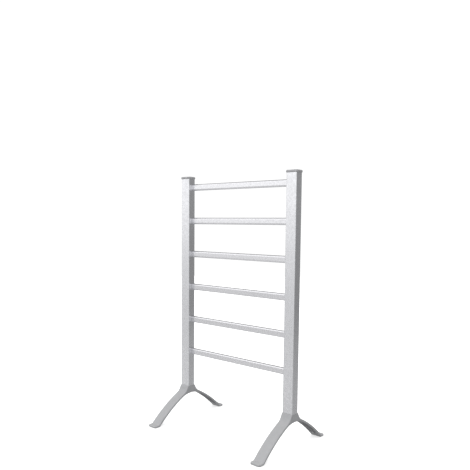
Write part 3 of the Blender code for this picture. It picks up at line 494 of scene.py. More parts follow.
RAIL_HEIGHTS = [centre_of(f"rail_{number}")[2] for number in RAIL_NUMBERS]
RAIL_DEPTH, RAIL_HEIGHT = size_of("rail_1")[1:]
RAIL_Y = centre_of("rail_1")[1]
SWITCH_Z = centre_of("switch_housing")[2]
UPRIGHT_BACK = box_of("left_upright")[1][1]
SCREW_HOLE = 1.8 * MM  # radius
GLAND_HOLE = 6.3 * MM  # radius
RAIL_SCREW_REACH = 8 * MM  # how deep the screws' holes go from the upright's back into the rails
SWITCH_HOLE = (19.0 * MM, 27.4 * MM, 1 * MM)  # width, height and corner


def rail_collar(side, height, gap):
    """A cutter for the slot that a rail passes through, a flat oval a gap larger than the rail."""
    outline = oval_outline(RAIL_HEIGHT + 2 * gap, RAIL_DEPTH + 2 * gap, 17) + np.array((RAIL_Y, height))
    low, high = box_of(f"{side}_upright")
    face = high[0] if side == "left" else low[0]
    return surface("slot_cutter", carried(outline, "X", (face - CUT_PAST, face + CUT_PAST)))


def round_cutter(axis, centre, radius, start, end):
    """A plain round cutter along the axis, from start to end."""
    return surface("round_cutter", turned(((radius, start), (radius, end)), axis, centre, 32))


def screw_cutter(node, depth):
    """A clearance hole for a rail screw, from behind the upright forwards by the depth."""
    x, _, z = centre_of(node)
    return round_cutter("Y", (x, 0, z), SCREW_HOLE, UPRIGHT_BACK - depth, UPRIGHT_BACK + CUT_PAST)


def upright_piece(side, material, sizes):
    """A rounded-rectangle tube carried up Z, with slots for the rails and holes for the screws, switch and gland."""
    node = f"{side}_upright"
    low, high = box_of(node)
    width, depth, _ = high - low
    wall, corner = sizes.upright_wall, sizes.upright_corner
    outer = rounded_outline(width, depth, corner, 9, FLAT_SUPPORT)
    inner = rounded_outline(width - 2 * wall, depth - 2 * wall, corner - wall, 9, FLAT_SUPPORT)
    tube = tube_grid(outer, inner, "Z", low[2], high[2], 0.2 * MM) + np.array((*centre_of(node)[:2], 0))
    tube = surface(f"{side}_upright_shell", tube, True)
    cutters = [rail_collar(side, height, sizes.fit_gap) for height in RAIL_HEIGHTS]
    cutters += [screw_cutter(f"{side}_rail_screw_{number}", CUT_PAST) for number in RAIL_NUMBERS]
    if side == "right":
        x, _, z = centre_of("cord_gland")
        cutters.append(round_cutter("Y", (x, 0, z), GLAND_HOLE, high[1] - CUT_PAST, high[1] + CUT_PAST))
        rings = [(*SWITCH_HOLE, along) for along in (-CUT_PAST, CUT_PAST)]
        cutters.append(surface("switch_cutter", ring_stack(rings, "X", (low[0], 0, SWITCH_Z))))
    cut(tube, cutters)
    settle(tube, material, node)


def rail_piece(number, material, sizes):
    """A flat-oval tube carried along X between the uprights, drilled at both ends for its screws."""
    node = f"rail_{number}"
    low, high = box_of(node)
    outer = oval_outline(RAIL_HEIGHT, RAIL_DEPTH, 25)
    inner = oval_outline(RAIL_HEIGHT - 2 * sizes.rail_wall, RAIL_DEPTH - 2 * sizes.rail_wall, 25)
    middle = np.array((0, RAIL_Y, RAIL_HEIGHTS[number - 1]))
    tube = surface(f"{node}_tube", tube_grid(outer, inner, "X", low[0], high[0], 0.15 * MM) + middle, True)
    cut(tube, [screw_cutter(f"{side}_rail_screw_{number}", RAIL_SCREW_REACH) for side in SIDES])
    settle(tube, material, node)


CAP_OVERHANG = 2.2 * MM
CAP_SKIRT_STEP = 8 * MM  # how much smaller the skirt is than the plate
CAP_SKIRT_WALL = 2 * MM
CAP_LEAST_CORNER = 1.2 * MM


def cap_piece(side, material, sizes):
    """A moulded cap as rings up Z: the hollow skirt, the plate's eased lower edge, its rounded shoulder and a low
    dome that rises as the cosine of the way in."""
    node = f"{side}_top_cap"
    low, high = box_of(node)
    width, depth, _ = high - low
    plate = box_of(f"{side}_upright")[1][2] + sizes.fit_gap
    top = high[2]
    corner = sizes.upright_corner + CAP_OVERHANG
    skirt_width, skirt_depth = width - CAP_SKIRT_STEP, depth - CAP_SKIRT_STEP
    bore_width, bore_depth = skirt_width - 2 * CAP_SKIRT_WALL, skirt_depth - 2 * CAP_SKIRT_WALL
    rings = [
        (bore_width, bore_depth, 0.5 * MM, plate),
        (bore_width, bore_depth, 0.5 * MM, low[2] + 0.3 * MM),
        (bore_width + 0.6 * MM, bore_depth + 0.6 * MM, 0.6 * MM, low[2]),
        (skirt_width - 0.8 * MM, skirt_depth - 0.8 * MM, 0.8 * MM, low[2]),
        (skirt_width, skirt_depth, 1.0 * MM, low[2] + 0.6 * MM),
        (skirt_width, skirt_depth, 1.0 * MM, plate),
    ]
    ease = sizes.cap_low_round
    for angle in np.linspace(0, math.pi / 2, 5):
        inset = ease * (1 - math.sin(angle))
        rings.append((width - 2 * inset, depth - 2 * inset, corner - inset, plate + ease * (1 - math.cos(angle))))
    rise = sizes.cap_dome
    shoulder = sizes.cap_round
    for angle in np.linspace(0, math.pi / 2, 11):
        inset = shoulder * (1 - math.cos(angle))
        up = top - rise - shoulder + shoulder * math.sin(angle)
        rings.append((width - 2 * inset, depth - 2 * inset, max(corner - inset, CAP_LEAST_CORNER), up))
    half = depth / 2 - shoulder
    for share in np.linspace(0.12, 0.96, 9):
        inset = shoulder + half * share
        up = top - rise * math.cos(share * math.pi / 2) ** 2
        corner = max(CAP_LEAST_CORNER * (1 - share), 0.1 * MM)
        rings.append((width - 2 * inset, depth - 2 * inset, corner, up))
    cap = surface(f"{side}_cap_moulding", ring_stack(rings, "Z", (*centre_of(node)[:2], 0), 9))
    settle(cap, material, node)


# ---------------------------------------------------------------- feet

FOOT_LOW, FOOT_HIGH = box_of("left_foot")
FOOT_WIDTH = FOOT_HIGH[0] - FOOT_LOW[0]
TIP = FOOT_HIGH[1]
TOE_CLEARANCE = FOOT_LOW[2]
SHOULDER = box_of("left_upright")[0][2] - 0.3 * MM
SHOULDER_EASE = 0.8 * MM
ARCH_HEIGHT = 0.0945
CROWN_RADIUS = 0.100
CROWN_ANGLE = math.radians(29)
LEG_RADIUS = 0.500
HUB_FACE = 0.0172
HUB_FILLET = 0.039
TOE_TOP = TOE_CLEARANCE + 0.0068
TOE_FILLET = 0.006
TOE_CORNER = 0.008
TOP_ROUND = 0.003
LOW_ROUND = 0.002
TIP_LOW_ROUND = 0.001
CHANNEL_START = math.radians(30)
CHANNEL_END_HEIGHT = 0.013
CHANNEL_RAMP = 0.003  # radians along the leg from the flat to the channel's full depth
CHANNEL_FILLET = 0.0005
CHANNEL_WEB = 0.0024
CHANNEL_WALL = 0.0026
CHANNEL_RIB = 0.0024
SCREW_HEAD_HOLE = 4.8 * MM  # radius
SCREW_SHANK_HOLE = 2.8 * MM  # radius
SCREW_SEAT = 3.8 * MM  # the foot screw's lowest point up to its seat in the foot
PAD_CORNER = 3 * MM
PAD_EASE = 0.6 * MM

CROWN_CENTRE = np.array((0, ARCH_HEIGHT - CROWN_RADIUS))
LEG_CENTRE = CROWN_CENTRE - (LEG_RADIUS - CROWN_RADIUS) * np.array((math.sin(CROWN_ANGLE), math.cos(CROWN_ANGLE)))
CHANNEL_END = math.acos((CHANNEL_END_HEIGHT - LEG_CENTRE[1]) / LEG_RADIUS)


def from_upright(centre, radius, start, end, count):
    """An arc whose angles are measured from straight up and grow towards the tip."""
    return arc(centre, radius, math.pi / 2 - start, math.pi / 2 - end, count)


def eased_corner(before, corner, after, count=7):
    """Points along a corner rounded off: (1 - t)^2 before + 2 t (1 - t) corner + t^2 after."""
    t = np.linspace(0, 1, count)[:, None]
    return (1 - t) ** 2 * np.array(before) + 2 * t * (1 - t) * np.array(corner) + t**2 * np.array(after)


def foot_stations(sizes):
    """The back half of a foot as pairs of points (y, z), one on the underside and one on top, from its middle to its
    tip: a crown arc and a leg arc below, and above them the shoulder, the hub's fillet, the leg's arc and the toe.
    Also the rounding of the top edge at each pair."""
    centre, crown = LEG_CENTRE, CROWN_CENTRE
    top_radius = LEG_RADIUS + sizes.foot_thickness
    across = HUB_FACE + HUB_FILLET
    fillet = (across, centre[1] + math.sqrt((top_radius + HUB_FILLET) ** 2 - (across - centre[0]) ** 2))
    hub_angle = math.atan2(fillet[0] - centre[0], fillet[1] - centre[1])
    fillet_top = math.acos((SHOULDER - fillet[1]) / HUB_FILLET)
    up = TOE_TOP + TOE_FILLET
    toe = (centre[0] + math.sqrt((top_radius + TOE_FILLET) ** 2 - (up - centre[1]) ** 2), up)
    toe_angle = math.atan2(toe[0] - centre[0], toe[1] - centre[1])
    low_end = math.acos((TOE_CLEARANCE - centre[1]) / LEG_RADIUS)

    # The hub: the flat that the upright stands on, a corner eased into the chamfer, and the fillet's side.
    hub_side = from_upright(fillet, HUB_FILLET, 2 * math.pi - fillet_top, math.pi + hub_angle, 26)
    hub_side = hub_side[hub_side[:, 1] < SHOULDER - sizes.hub_chamfer]
    flat = np.column_stack((np.linspace(0, UPRIGHT_BACK + SHOULDER_EASE, 7), np.full(7, SHOULDER)))
    near = eased_corner(flat[-1], (UPRIGHT_BACK + 2.2 * MM, SHOULDER - 0.3 * MM), hub_side[1], 9)
    tangent = math.asin(hub_side[-1, 0] / math.hypot(hub_side[-1, 0], hub_side[-1, 1] - crown[1]))
    over = [flat, near[1:], hub_side[2:]]
    count = sum(len(part) for part in over)
    under = [from_upright(crown, CROWN_RADIUS, 0, tangent, count)]
    grow = np.linspace(0, 1, len(hub_side) - 2)
    smooth = 3 * grow**2 - 2 * grow**3
    round_top = [np.full(len(flat) + len(near) - 1, SHOULDER_EASE)]
    round_top.append(SHOULDER_EASE + (TOP_ROUND - SHOULDER_EASE) * smooth)

    # The leg, then the toe's fillet, and the toe itself with its steps shorter towards the tip.
    over.append(from_upright(centre, top_radius, hub_angle, CROWN_ANGLE, 5)[1:])
    under.append(from_upright(crown, CROWN_RADIUS, tangent, CROWN_ANGLE, 5)[1:])
    over.append(from_upright(centre, top_radius, CROWN_ANGLE, toe_angle, 61)[1:])
    under.append(from_upright(centre, LEG_RADIUS, CROWN_ANGLE, toe_angle, 61)[1:])
    over.append(from_upright(toe, TOE_FILLET, math.pi + toe_angle, math.pi, 9)[1:])
    settle_down = from_upright(centre, LEG_RADIUS, toe_angle, low_end, 3)[1:]
    last = np.linspace(settle_down[-1, 0], over[-1][-1, 0], 7)[1:]
    under.append(np.vstack((settle_down, np.column_stack((last, np.full(6, TOE_CLEARANCE))))))
    steps = np.cos(np.linspace(0, math.pi / 2, 22)[1:-1][::-1])
    y = TIP - (TIP - over[-1][-1, 0]) * (1 - np.append(steps, 1.0))
    over.append(np.column_stack((y, np.full(len(y), TOE_TOP))))
    under.append(np.column_stack((y, np.full(len(y), TOE_CLEARANCE))))
    round_top.append(np.full(sum(len(part) for part in over[3:]), TOP_ROUND))
    return np.vstack(under), np.vstack(over), np.concatenate(round_top)


def inward_normals(points, side):
    """Unit normals of a curve in the (y, z) plane, turned a quarter from its direction towards the given side."""
    step = np.gradient(points, axis=0)
    step /= np.linalg.norm(step, axis=1, keepdims=True)
    return np.column_stack((step[:, 1], -step[:, 0])) * side


def edge_drop(distance, radius):
    """How far a rounded edge lies under the flat at a distance in from the side: r - sqrt(r^2 - (r - d)^2)."""
    inside = np.clip(radius - distance, 0, radius)
    return radius - np.sqrt(radius**2 - inside**2)


def foot_grid(sizes):
    """Rings round the foot's section, carried from tip to tip. Each half ring goes from the middle of the top over
    the rounded edge, down the side, round the lower edge and through the channel beside the rib."""
    under, over, round_top = foot_stations(sizes)
    half = FOOT_WIDTH / 2
    to_tip = np.clip(TIP - over[:, 0], 0, None)
    bend = np.clip(TOE_CORNER - to_tip, 0, TOE_CORNER)
    width = half - TOE_CORNER + np.sqrt(TOE_CORNER**2 - bend**2)

    angle = np.linspace(0, math.pi / 2, 8)[None]
    top_in = round_top[:, None] * (1 - np.cos(angle[:, ::-1]))
    x_top = np.concatenate((width[:, None] * np.array((0, 0.35, 0.7)), width[:, None] - top_in), axis=1)
    x_top = np.maximum.accumulate(x_top, axis=1)
    low_in = LOW_ROUND * (1 - np.cos(angle))
    x_low = width[:, None] - low_in

    def inside_distance(x):
        """Distance in from the foot's outline seen from above, a rectangle with rounded corners at the tips."""
        over_x = np.abs(x) - (half - TOE_CORNER)
        over_y = np.broadcast_to((TOE_CORNER - to_tip)[:, None], x.shape)
        outside = np.hypot(np.clip(over_x, 0, None), np.clip(over_y, 0, None))
        return TOE_CORNER - outside - np.clip(np.maximum(over_x, over_y), None, 0)

    down = inward_normals(over, 1)
    rise = inward_normals(under, -1)
    top_drop = edge_drop(inside_distance(x_top), round_top[:, None])
    low_radius = np.where(to_tip < TOE_CORNER, TIP_LOW_ROUND, LOW_ROUND)[:, None]
    low_drop = edge_drop(inside_distance(x_low), low_radius)
    top = over[:, None] + down[:, None] * top_drop[..., None]
    low = under[:, None] + rise[:, None] * low_drop[..., None]

    leg_angle = np.arctan2(*(under - LEG_CENTRE).T)
    starts = np.clip((leg_angle - CHANNEL_START) / CHANNEL_RAMP, 0, 1)
    ends = np.clip((CHANNEL_END - leg_angle) / CHANNEL_RAMP, 0, 1)
    deep = (sizes.foot_thickness - CHANNEL_WEB) * np.minimum(starts, ends)
    inner, outer = CHANNEL_RIB / 2, half - CHANNEL_WALL
    near, far = 0.05 * MM, 0.1 * MM  # how far in from a channel's wall its rows lie
    x_channel = np.array((outer, outer - near, outer - far, outer - CHANNEL_FILLET))
    x_channel = np.append(x_channel, (inner + CHANNEL_FILLET, inner + far, inner + near, inner, 0))
    share = np.array((0, 0.05, 0.93, 1, 1, 0.93, 0.05, 0, 0))
    channel = under[:, None] + rise[:, None] * (deep[:, None] * share)[..., None]
    x_channel = np.minimum(x_channel, (width * 0.9)[:, None] * np.linspace(1, 0, 9) ** 0.5)
    x_channel = np.where((to_tip < TOE_CORNER)[:, None], np.linspace(0.8, 0, 9) * width[:, None], x_channel)

    x = np.concatenate((x_top, x_low, x_channel), axis=1)
    flat = np.concatenate((top, low, channel), axis=1)
    ring = np.concatenate((x[..., None], flat), axis=2)
    mirror = ring[:, -2:0:-1] * (-1, 1, 1)
    back_half = np.concatenate((ring, mirror), axis=1)
    front_half = back_half[:0:-1] * (1, -1, 1)
    return np.concatenate((front_half, back_half))


def foot_piece(side, material, sizes):
    """The arched foot with its spigot, the holes for its two screws and the seats of its pads."""
    node = f"{side}_foot"
    x = centre_of(node)[0]
    foot = surface(f"{side}_foot_moulding", foot_grid(sizes) + np.array((x, 0, 0)))
    cutters = []
    for end in ENDS:
        screw = f"{side}_foot_{end}_screw"
        seat = box_of(screw)[0][2] + SCREW_SEAT
        profile = ((SCREW_HEAD_HOLE, 0.08), (SCREW_HEAD_HOLE, seat), (SCREW_SHANK_HOLE, seat), (SCREW_SHANK_HOLE, 0.14))
        cutters.append(surface("hole_cutter", turned(profile, "Z", (*centre_of(screw)[:2], 0), 32)))
        pad = f"{side}_foot_{end}_pad"
        wide, long, thick = size_of(pad) + 2 * sizes.fit_gap
        rings = [(wide, long, PAD_CORNER, along) for along in (-1 * MM, thick - sizes.fit_gap)]
        cutters.append(surface("seat_cutter", ring_stack(rings, "Z", (*centre_of(pad)[:2], 0))))
    spigot_width, spigot_depth, _ = size_of(f"{side}_foot_plug")
    rings = [(spigot_width, spigot_depth, 1 * MM, along) for along in (SHOULDER - 2 * MM, FOOT_HIGH[2])]
    cut(foot, [surface("spigot", ring_stack(rings, "Z", (x, 0, 0)))], "UNION")
    cut(foot, cutters)
    settle(foot, material, node)


def pad_piece(node, material):
    """A rubber pad as rings up Z, with an eased lower edge."""
    width, depth, thick = size_of(node)
    rings = []
    for angle in np.linspace(0, math.pi / 2, 5):
        inset = PAD_EASE * (1 - math.sin(angle))
        along = PAD_EASE * (1 - math.cos(angle))
        rings.append((width - 2 * inset, depth - 2 * inset, PAD_CORNER - inset, along))
    rings.append((width, depth, PAD_CORNER, thick - 0.1 * MM))
    rings.append((width - 0.2 * MM, depth - 0.2 * MM, PAD_CORNER - 0.1 * MM, thick))
    pad = surface(f"{node}_sole", ring_stack(rings, "Z", (*centre_of(node)[:2], 0)))
    settle(pad, material, node)


# ---------------------------------------------------------------- screws, switch and gland

THREAD_PITCH = 0.9 * MM
FOOT_SCREW_HEAD = 3.5 * MM  # height
POCKET = (15.2 * MM, 24.2 * MM)  # width and height of the switch's pocket
POCKET_DEPTH = 7.5 * MM  # behind the upright's face
SWITCH_BODY = (18.4 * MM, 26.8 * MM)
PIVOT_HOLE = 1.5 * MM  # radius
PIN_RADIUS = 1.2 * MM
PIN_REACH = 0.9 * MM  # how far each pin stands out of the rocker's side
ROCKER_RADIUS = 11.8 * MM
ROCKER_TIP_OUT = 7.5 * MM  # from the pivot's plane out to the tips of the rocker's faces
ROCKER_MIDDLE_OUT = 5.7 * MM
ROCKER_BACK_ANGLE = math.radians(105)
ROCKER_DISH = 0.35 * MM
ROCKER_EDGE = 0.7 * MM
GLAND_BARREL = 6.0 * MM  # radius
GLAND_BORE = 3.75 * MM  # radius
GLAND_ROUND = 0.9 * MM


def cross_outline(reach, half):
    """A plus sign about the origin, its arms reaching out by reach and half wide on each side."""
    arm = np.array(((half, half), (half, reach), (-half, reach)))
    quarters = np.arange(4) * math.pi / 2
    turns = [np.array(((math.cos(a), -math.sin(a)), (math.sin(a), math.cos(a)))) for a in quarters]
    return np.vstack([arm @ turn.T for turn in turns])


def screw_mesh(name, head, head_height, shank, length):
    """A pan-head screw about its seat, the head towards +Y: a domed head turned from its profile, with a tapered
    cross recess, and a shank with a thread that rises and falls as the sine of the distance along it."""
    edge = head / 2
    radius = shank / 2
    thread = np.linspace(-length + radius, -0.6 * MM, 60)
    depth = radius * 0.12
    body = np.column_stack((radius - depth + depth * np.sin(2 * math.pi * thread / THREAD_PITCH), thread))
    neck = np.array(((radius, -0.3 * MM), (radius, 0), (edge - 0.15 * MM, 0), (edge, 0.15 * MM)))
    angle = np.linspace(0, math.pi / 2, 9)
    crown = np.column_stack((edge * (0.45 + 0.55 * np.cos(angle)), head_height * (0.35 + 0.65 * np.sin(angle))))
    profile = np.vstack((((0.1 * MM, -length),), body, neck, crown))
    screw = surface(name, turned(profile, "Y", (0, 0, 0), 32))
    taper = np.array((0.35, 1.0, 1.0))[:, None, None]
    depths = np.array((0.25, 0.98, 1.5))[:, None] * head_height
    recess = on_plane(cross_outline(head * 0.27, head * 0.065) * taper, "Y", depths)
    cut(screw, [surface("recess_cutter", recess)])
    return screw


def screw_pieces(screw, seats, turn, material):
    """One copy of the pattern screw at each node's seat, each turned in its own way as a driver leaves it."""
    for index, (node, seat) in enumerate(seats.items()):
        mesh = screw.data.copy()
        spin = Matrix.Rotation(math.radians(23 + 67 * index), 4, "Y")
        mesh.transform(Matrix.Translation(Vector(seat)) @ turn @ spin)
        mesh.update()
        piece = link(bpy.data.objects.new(f"{node}_finish", mesh))
        settle(piece, material, node)
    bpy.data.objects.remove(screw)


def housing_piece(material, sizes):
    """The switch housing as rings along X: the pocket's floor and walls, the lip, a bezel that slopes to its edge, and
    the body behind the upright's face."""
    node = "switch_housing"
    low, high = box_of(node)
    face = box_of("right_upright")[0][0]
    front = low[0]
    pocket, bezel, body = np.array(POCKET), high[1:] - low[1:], np.array(SWITCH_BODY)
    rings = [
        (*pocket, 0.4 * MM, face + POCKET_DEPTH),
        (*pocket, 0.4 * MM, front + 0.4 * MM),
        (*(pocket + 0.25 * MM), 0.5 * MM, front + 0.1 * MM),
        (*(pocket + 0.9 * MM), 0.8 * MM, front),
        (*(bezel - 3.2 * MM), 1.2 * MM, front + 0.05 * MM),
        (*(bezel - 1.4 * MM), 1.7 * MM, front + 0.35 * MM),
        (*(bezel - 0.4 * MM), 1.9 * MM, front + 0.9 * MM),
        (*bezel, 2 * MM, front + 1.5 * MM),
        (*bezel, 2 * MM, face - sizes.fit_gap),
        (*body, 1 * MM, face - sizes.fit_gap),
        (*body, 1 * MM, high[0] - 0.4 * MM),
        (*(body - 0.8 * MM), 0.8 * MM, high[0]),
    ]
    housing = surface("switch_bezel_and_body", ring_stack(rings, "X", (0, 0, SWITCH_Z), 7))
    reach = size_of("switch_rocker")[1] / 2 + 0.3 * MM
    cutters = [round_cutter("Y", pivot_point(), PIVOT_HOLE, -reach, reach)]
    for blade in ("switch_supply_terminal", "switch_load_terminal"):
        _, wide, thick = size_of(blade) + 2 * sizes.fit_gap
        ends = (box_of(blade)[0][0] - sizes.fit_gap, high[0] + 2 * MM)
        stack = [(wide, thick, 0.2 * MM, along) for along in ends]
        cutters.append(surface("slot_cutter", ring_stack(stack, "X", (0, 0, centre_of(blade)[2]), 3)))
    cut(housing, cutters)
    settle(housing, material, node)


def pivot_point():
    joint = next(j for j in frame["joints"] if j["name"] == "switch_rocker_tilt")
    return np.array(joint["pos_m"], float)


def rocker_outline():
    """The rocker's outline in the (out, along) plane, round its pivot: arcs at both ends with the V of its two faces
    between them, each dished by the sine of the way along it."""
    bend = np.linspace(math.acos(ROCKER_TIP_OUT / ROCKER_RADIUS), ROCKER_BACK_ANGLE, 12)
    end = ROCKER_RADIUS * np.column_stack((np.cos(bend), np.sin(bend)))
    before = (ROCKER_TIP_OUT - 0.1 * MM, end[0, 1] - 0.9 * MM)
    rounding = eased_corner(before, (ROCKER_TIP_OUT, end[0, 1]), end[2], 6)
    slope = np.linspace(0.08, 0.8, 8)
    out = ROCKER_MIDDLE_OUT + (rounding[0, 0] - ROCKER_MIDDLE_OUT) * slope - ROCKER_DISH * np.sin(math.pi * slope)
    tail = end[-1] * ((1, 0.8), (1, 0.55))
    upper = np.vstack((np.column_stack((out, rounding[0, 1] * slope)), rounding, end[3:], tail))
    return np.vstack((((ROCKER_MIDDLE_OUT, 0),), upper, upper[::-1] * (1, -1)))


def rocker_piece(material, sizes):
    """The rocker's outline carried along Y, drawn in at both sides by a quarter round, with its two pins."""
    half_width = size_of("switch_rocker")[1] / 2 - PIN_REACH
    outline = rocker_outline()
    angle = np.linspace(0, math.pi / 2, 6)
    into = ROCKER_EDGE * (1 - np.cos(angle))
    inset = ROCKER_EDGE * (1 - np.sin(angle))
    along = np.concatenate((-half_width + into, half_width - into[::-1]))
    share = 1 - np.concatenate((inset, inset[::-1])) / ROCKER_RADIUS
    centre = np.array((1.5 * MM, 0))
    rings = []
    for y, keep in zip(along, share):
        flat = centre + (outline - centre) * keep
        rings.append(np.column_stack((-flat[:, 0], np.full(len(flat), y), flat[:, 1])))
    rocker = surface("rocker_key", np.stack(rings))
    pin = half_width + PIN_REACH
    cut(rocker, [surface("pins", turned(((PIN_RADIUS, -pin), (PIN_RADIUS, pin)), "Y", (0, 0, 0), 24))], "UNION")
    tilt = Matrix.Rotation(sizes.rocker_tilt, 4, "Y")
    rocker.data.transform(Matrix.Translation(pivot_point()) @ tilt)
    rocker.data.update()
    settle(rocker, material, "switch_rocker", "rocker")


def gland_piece(material, sizes):
    """The cord gland turned round Y: barrel, flange with a rounded rim and a bore that flares at its mouth."""
    low, high = box_of("cord_gland")
    face = UPRIGHT_BACK + sizes.fit_gap
    flange, ease = (high[0] - low[0]) / 2, 0.3 * MM
    angle = np.linspace(0, math.pi / 2, 6)
    into, along = GLAND_ROUND * (1 - np.cos(angle)), GLAND_ROUND * (1 - np.sin(angle))
    rim = np.column_stack((flange - into, high[1] - along))
    flare = np.column_stack((GLAND_BORE + along, high[1] - into))
    back = ((GLAND_BORE, low[1] + ease), (GLAND_BORE + ease, low[1]))
    barrel = ((GLAND_BARREL - ease, low[1]), (GLAND_BARREL, low[1] + ease), (GLAND_BARREL, face))
    ridge = ((flange - 0.2 * MM, face), (flange, face + 0.2 * MM))
    x, _, z = centre_of("cord_gland")
    profile = np.vstack((back, barrel, ridge, rim, flare))
    gland = surface("gland_bush", turned(profile, "Y", (x, 0, z), 48), wrap_rows=True)
    settle(gland, material, "cord_gland")


# ---------------------------------------------------------------- settings

def colour_setting(name, description, value):
    return FloatVectorProperty(
        name=name, description=description, default=value, subtype="COLOR", size=3, min=0.0, max=1.0
    )


def length_setting(name, description, value):
    return FloatProperty(
        name=name, description=description, default=value, subtype="DISTANCE", unit="LENGTH", min=0.0
    )


def angle_setting(name, description, value):
    return FloatProperty(name=name, description=description, default=value, subtype="ANGLE", unit="ROTATION")


def value_setting(name, description, value, **limits):
    return FloatProperty(name=name, description=description, default=value, **limits)


class WarmerSizes(bpy.types.PropertyGroup):
    """Sizes of the finished pieces that the frame's boxes don't give."""

    upright_wall: length_setting("Upright wall", "Wall of the upright tubes", 0.0015)
    upright_corner: length_setting("Upright corner", "Outer corner radius of the uprights", 0.0025)
    rail_wall: length_setting("Rail wall", "Wall of the rail tubes", 0.0012)
    fit_gap: length_setting("Fit gap", "Gap between pieces that touch", 0.0003)
    foot_thickness: length_setting("Leg thickness", "Thickness of the feet's legs", 0.0078)
    cap_round: length_setting("Cap rounding", "Rounding of the caps' upper edge", 0.004)
    cap_low_round: length_setting("Cap lower rounding", "Rounding of the caps' lower edge", 0.0008)
    cap_dome: length_setting("Cap dome", "Rise of the caps' middle over their edge", 0.0006)
    hub_chamfer: length_setting("Hub chamfer", "Slope round the foot's shoulder", 0.004)
    rocker_tilt: angle_setting("Rocker tilt", "Tilt of the rocker at rest", math.radians(9))


class WarmerFinish(bpy.types.PropertyGroup):
    """Colours and roughness of the materials."""

    upright: colour_setting("Uprights", "Satin anodised uprights", (0.785, 0.79, 0.815))
    rail: colour_setting("Rails", "Satin anodised rails", (0.79, 0.79, 0.815))
    satin: value_setting("Satin roughness", "Roughness of the aluminium", 0.27, min=0.05, max=1)
    foot: colour_setting("Feet", "Grey moulded feet", (0.45, 0.455, 0.47))
    cap: colour_setting("Caps", "Grey moulded caps", (0.425, 0.427, 0.44))
    switch: colour_setting("Switch", "Grey switch bezel", (0.46, 0.465, 0.48))
    rocker: colour_setting("Rocker", "Grey rocker key", (0.52, 0.525, 0.54))
    rubber: colour_setting("Pads", "Dark rubber pads", (0.035, 0.035, 0.036))
    steel: colour_setting("Screws", "Plated steel screws", (0.62, 0.62, 0.63))
    gland: colour_setting("Gland", "Dark cord gland", (0.05, 0.05, 0.053))


class WarmerStage(bpy.types.PropertyGroup):
    """Camera, floor and light."""

    azimuth: angle_setting("Azimuth", "Camera direction round Z", 0.72319)
    elevation: angle_setting("Elevation", "How far the camera looks down", 0.08609)
    roll: angle_setting("Roll", "Turn of the camera round its axis", 0.00925)
    place: FloatVectorProperty(
        name="Camera",
        description="Camera position",
        default=(1.29568, -1.47342, 0.73483),
        subtype="TRANSLATION",
        size=3,
    )
    lens: value_setting("Lens", "Focal length in millimetres", 43.40, min=10)
    rise: value_setting("Vertical shift", "Shift of the frame upwards", 0.08)
    floor_radius: length_setting("Floor radius", "Radius of the pale floor", 6.0)
    floor_bounce: value_setting("Floor bounce", "Light from the floor onto mouldings", 0.26)
    front_light: value_setting("Front light", "Strength of the light from the front left", 1.2)
    back_light: value_setting("Back light", "Strength of the light from the back right", 0.78)


# ---------------------------------------------------------------- operators

SCENE_GROUPS = (("warmer_sizes", WarmerSizes), ("warmer_finish", WarmerFinish), ("warmer_stage", WarmerStage))


class TOWELWARMER_OT_effects(bpy.types.Operator):
    """Make the shader groups that the materials share."""

    bl_idname = "towelwarmer.effects"
    bl_label = "Shared surface effects"

    def execute(self, context):
        for make in (grain_group, handling_group, dust_group, pebble_group, wear_group):
            make()
        return {"FINISHED"}


class TOWELWARMER_OT_uprights(bpy.types.Operator):
    """Make both upright tubes."""

    bl_idname = "towelwarmer.uprights"
    bl_label = "Uprights"

    def execute(self, context):
        finish = context.scene.warmer_finish
        material = anodised_aluminium("satin_upright", tuple(finish.upright), finish.satin, "Z")
        for side in SIDES:
            upright_piece(side, material, context.scene.warmer_sizes)
        return {"FINISHED"}


class TOWELWARMER_OT_rails(bpy.types.Operator):
    """Make the flat-oval rails."""

    bl_idname = "towelwarmer.rails"
    bl_label = "Rails"

    def execute(self, context):
        finish = context.scene.warmer_finish
        material = anodised_aluminium("satin_rail", tuple(finish.rail), finish.satin - 0.03, "X")
        for number in RAIL_NUMBERS:
            rail_piece(number, material, context.scene.warmer_sizes)
        return {"FINISHED"}


class TOWELWARMER_OT_caps(bpy.types.Operator):
    """Make the moulded caps on the uprights."""

    bl_idname = "towelwarmer.caps"
    bl_label = "Top caps"

    def execute(self, context):
        material = moulded("moulded_cap", tuple(context.scene.warmer_finish.cap), roughness=0.42)
        for side in SIDES:
            cap_piece(side, material, context.scene.warmer_sizes)
        return {"FINISHED"}


class TOWELWARMER_OT_feet(bpy.types.Operator):
    """Make the arched feet and the rubber pads under their toes."""

    bl_idname = "towelwarmer.feet"
    bl_label = "Feet and pads"

    def execute(self, context):
        finish = context.scene.warmer_finish
        moulding = moulded("moulded_foot", tuple(finish.foot), roughness=0.45)
        rubber = soft_polymer("pad_rubber", tuple(finish.rubber), roughness=0.75)
        for side in SIDES:
            foot_piece(side, moulding, context.scene.warmer_sizes)
            for end in ENDS:
                pad_piece(f"{side}_foot_{end}_pad", rubber)
        return {"FINISHED"}


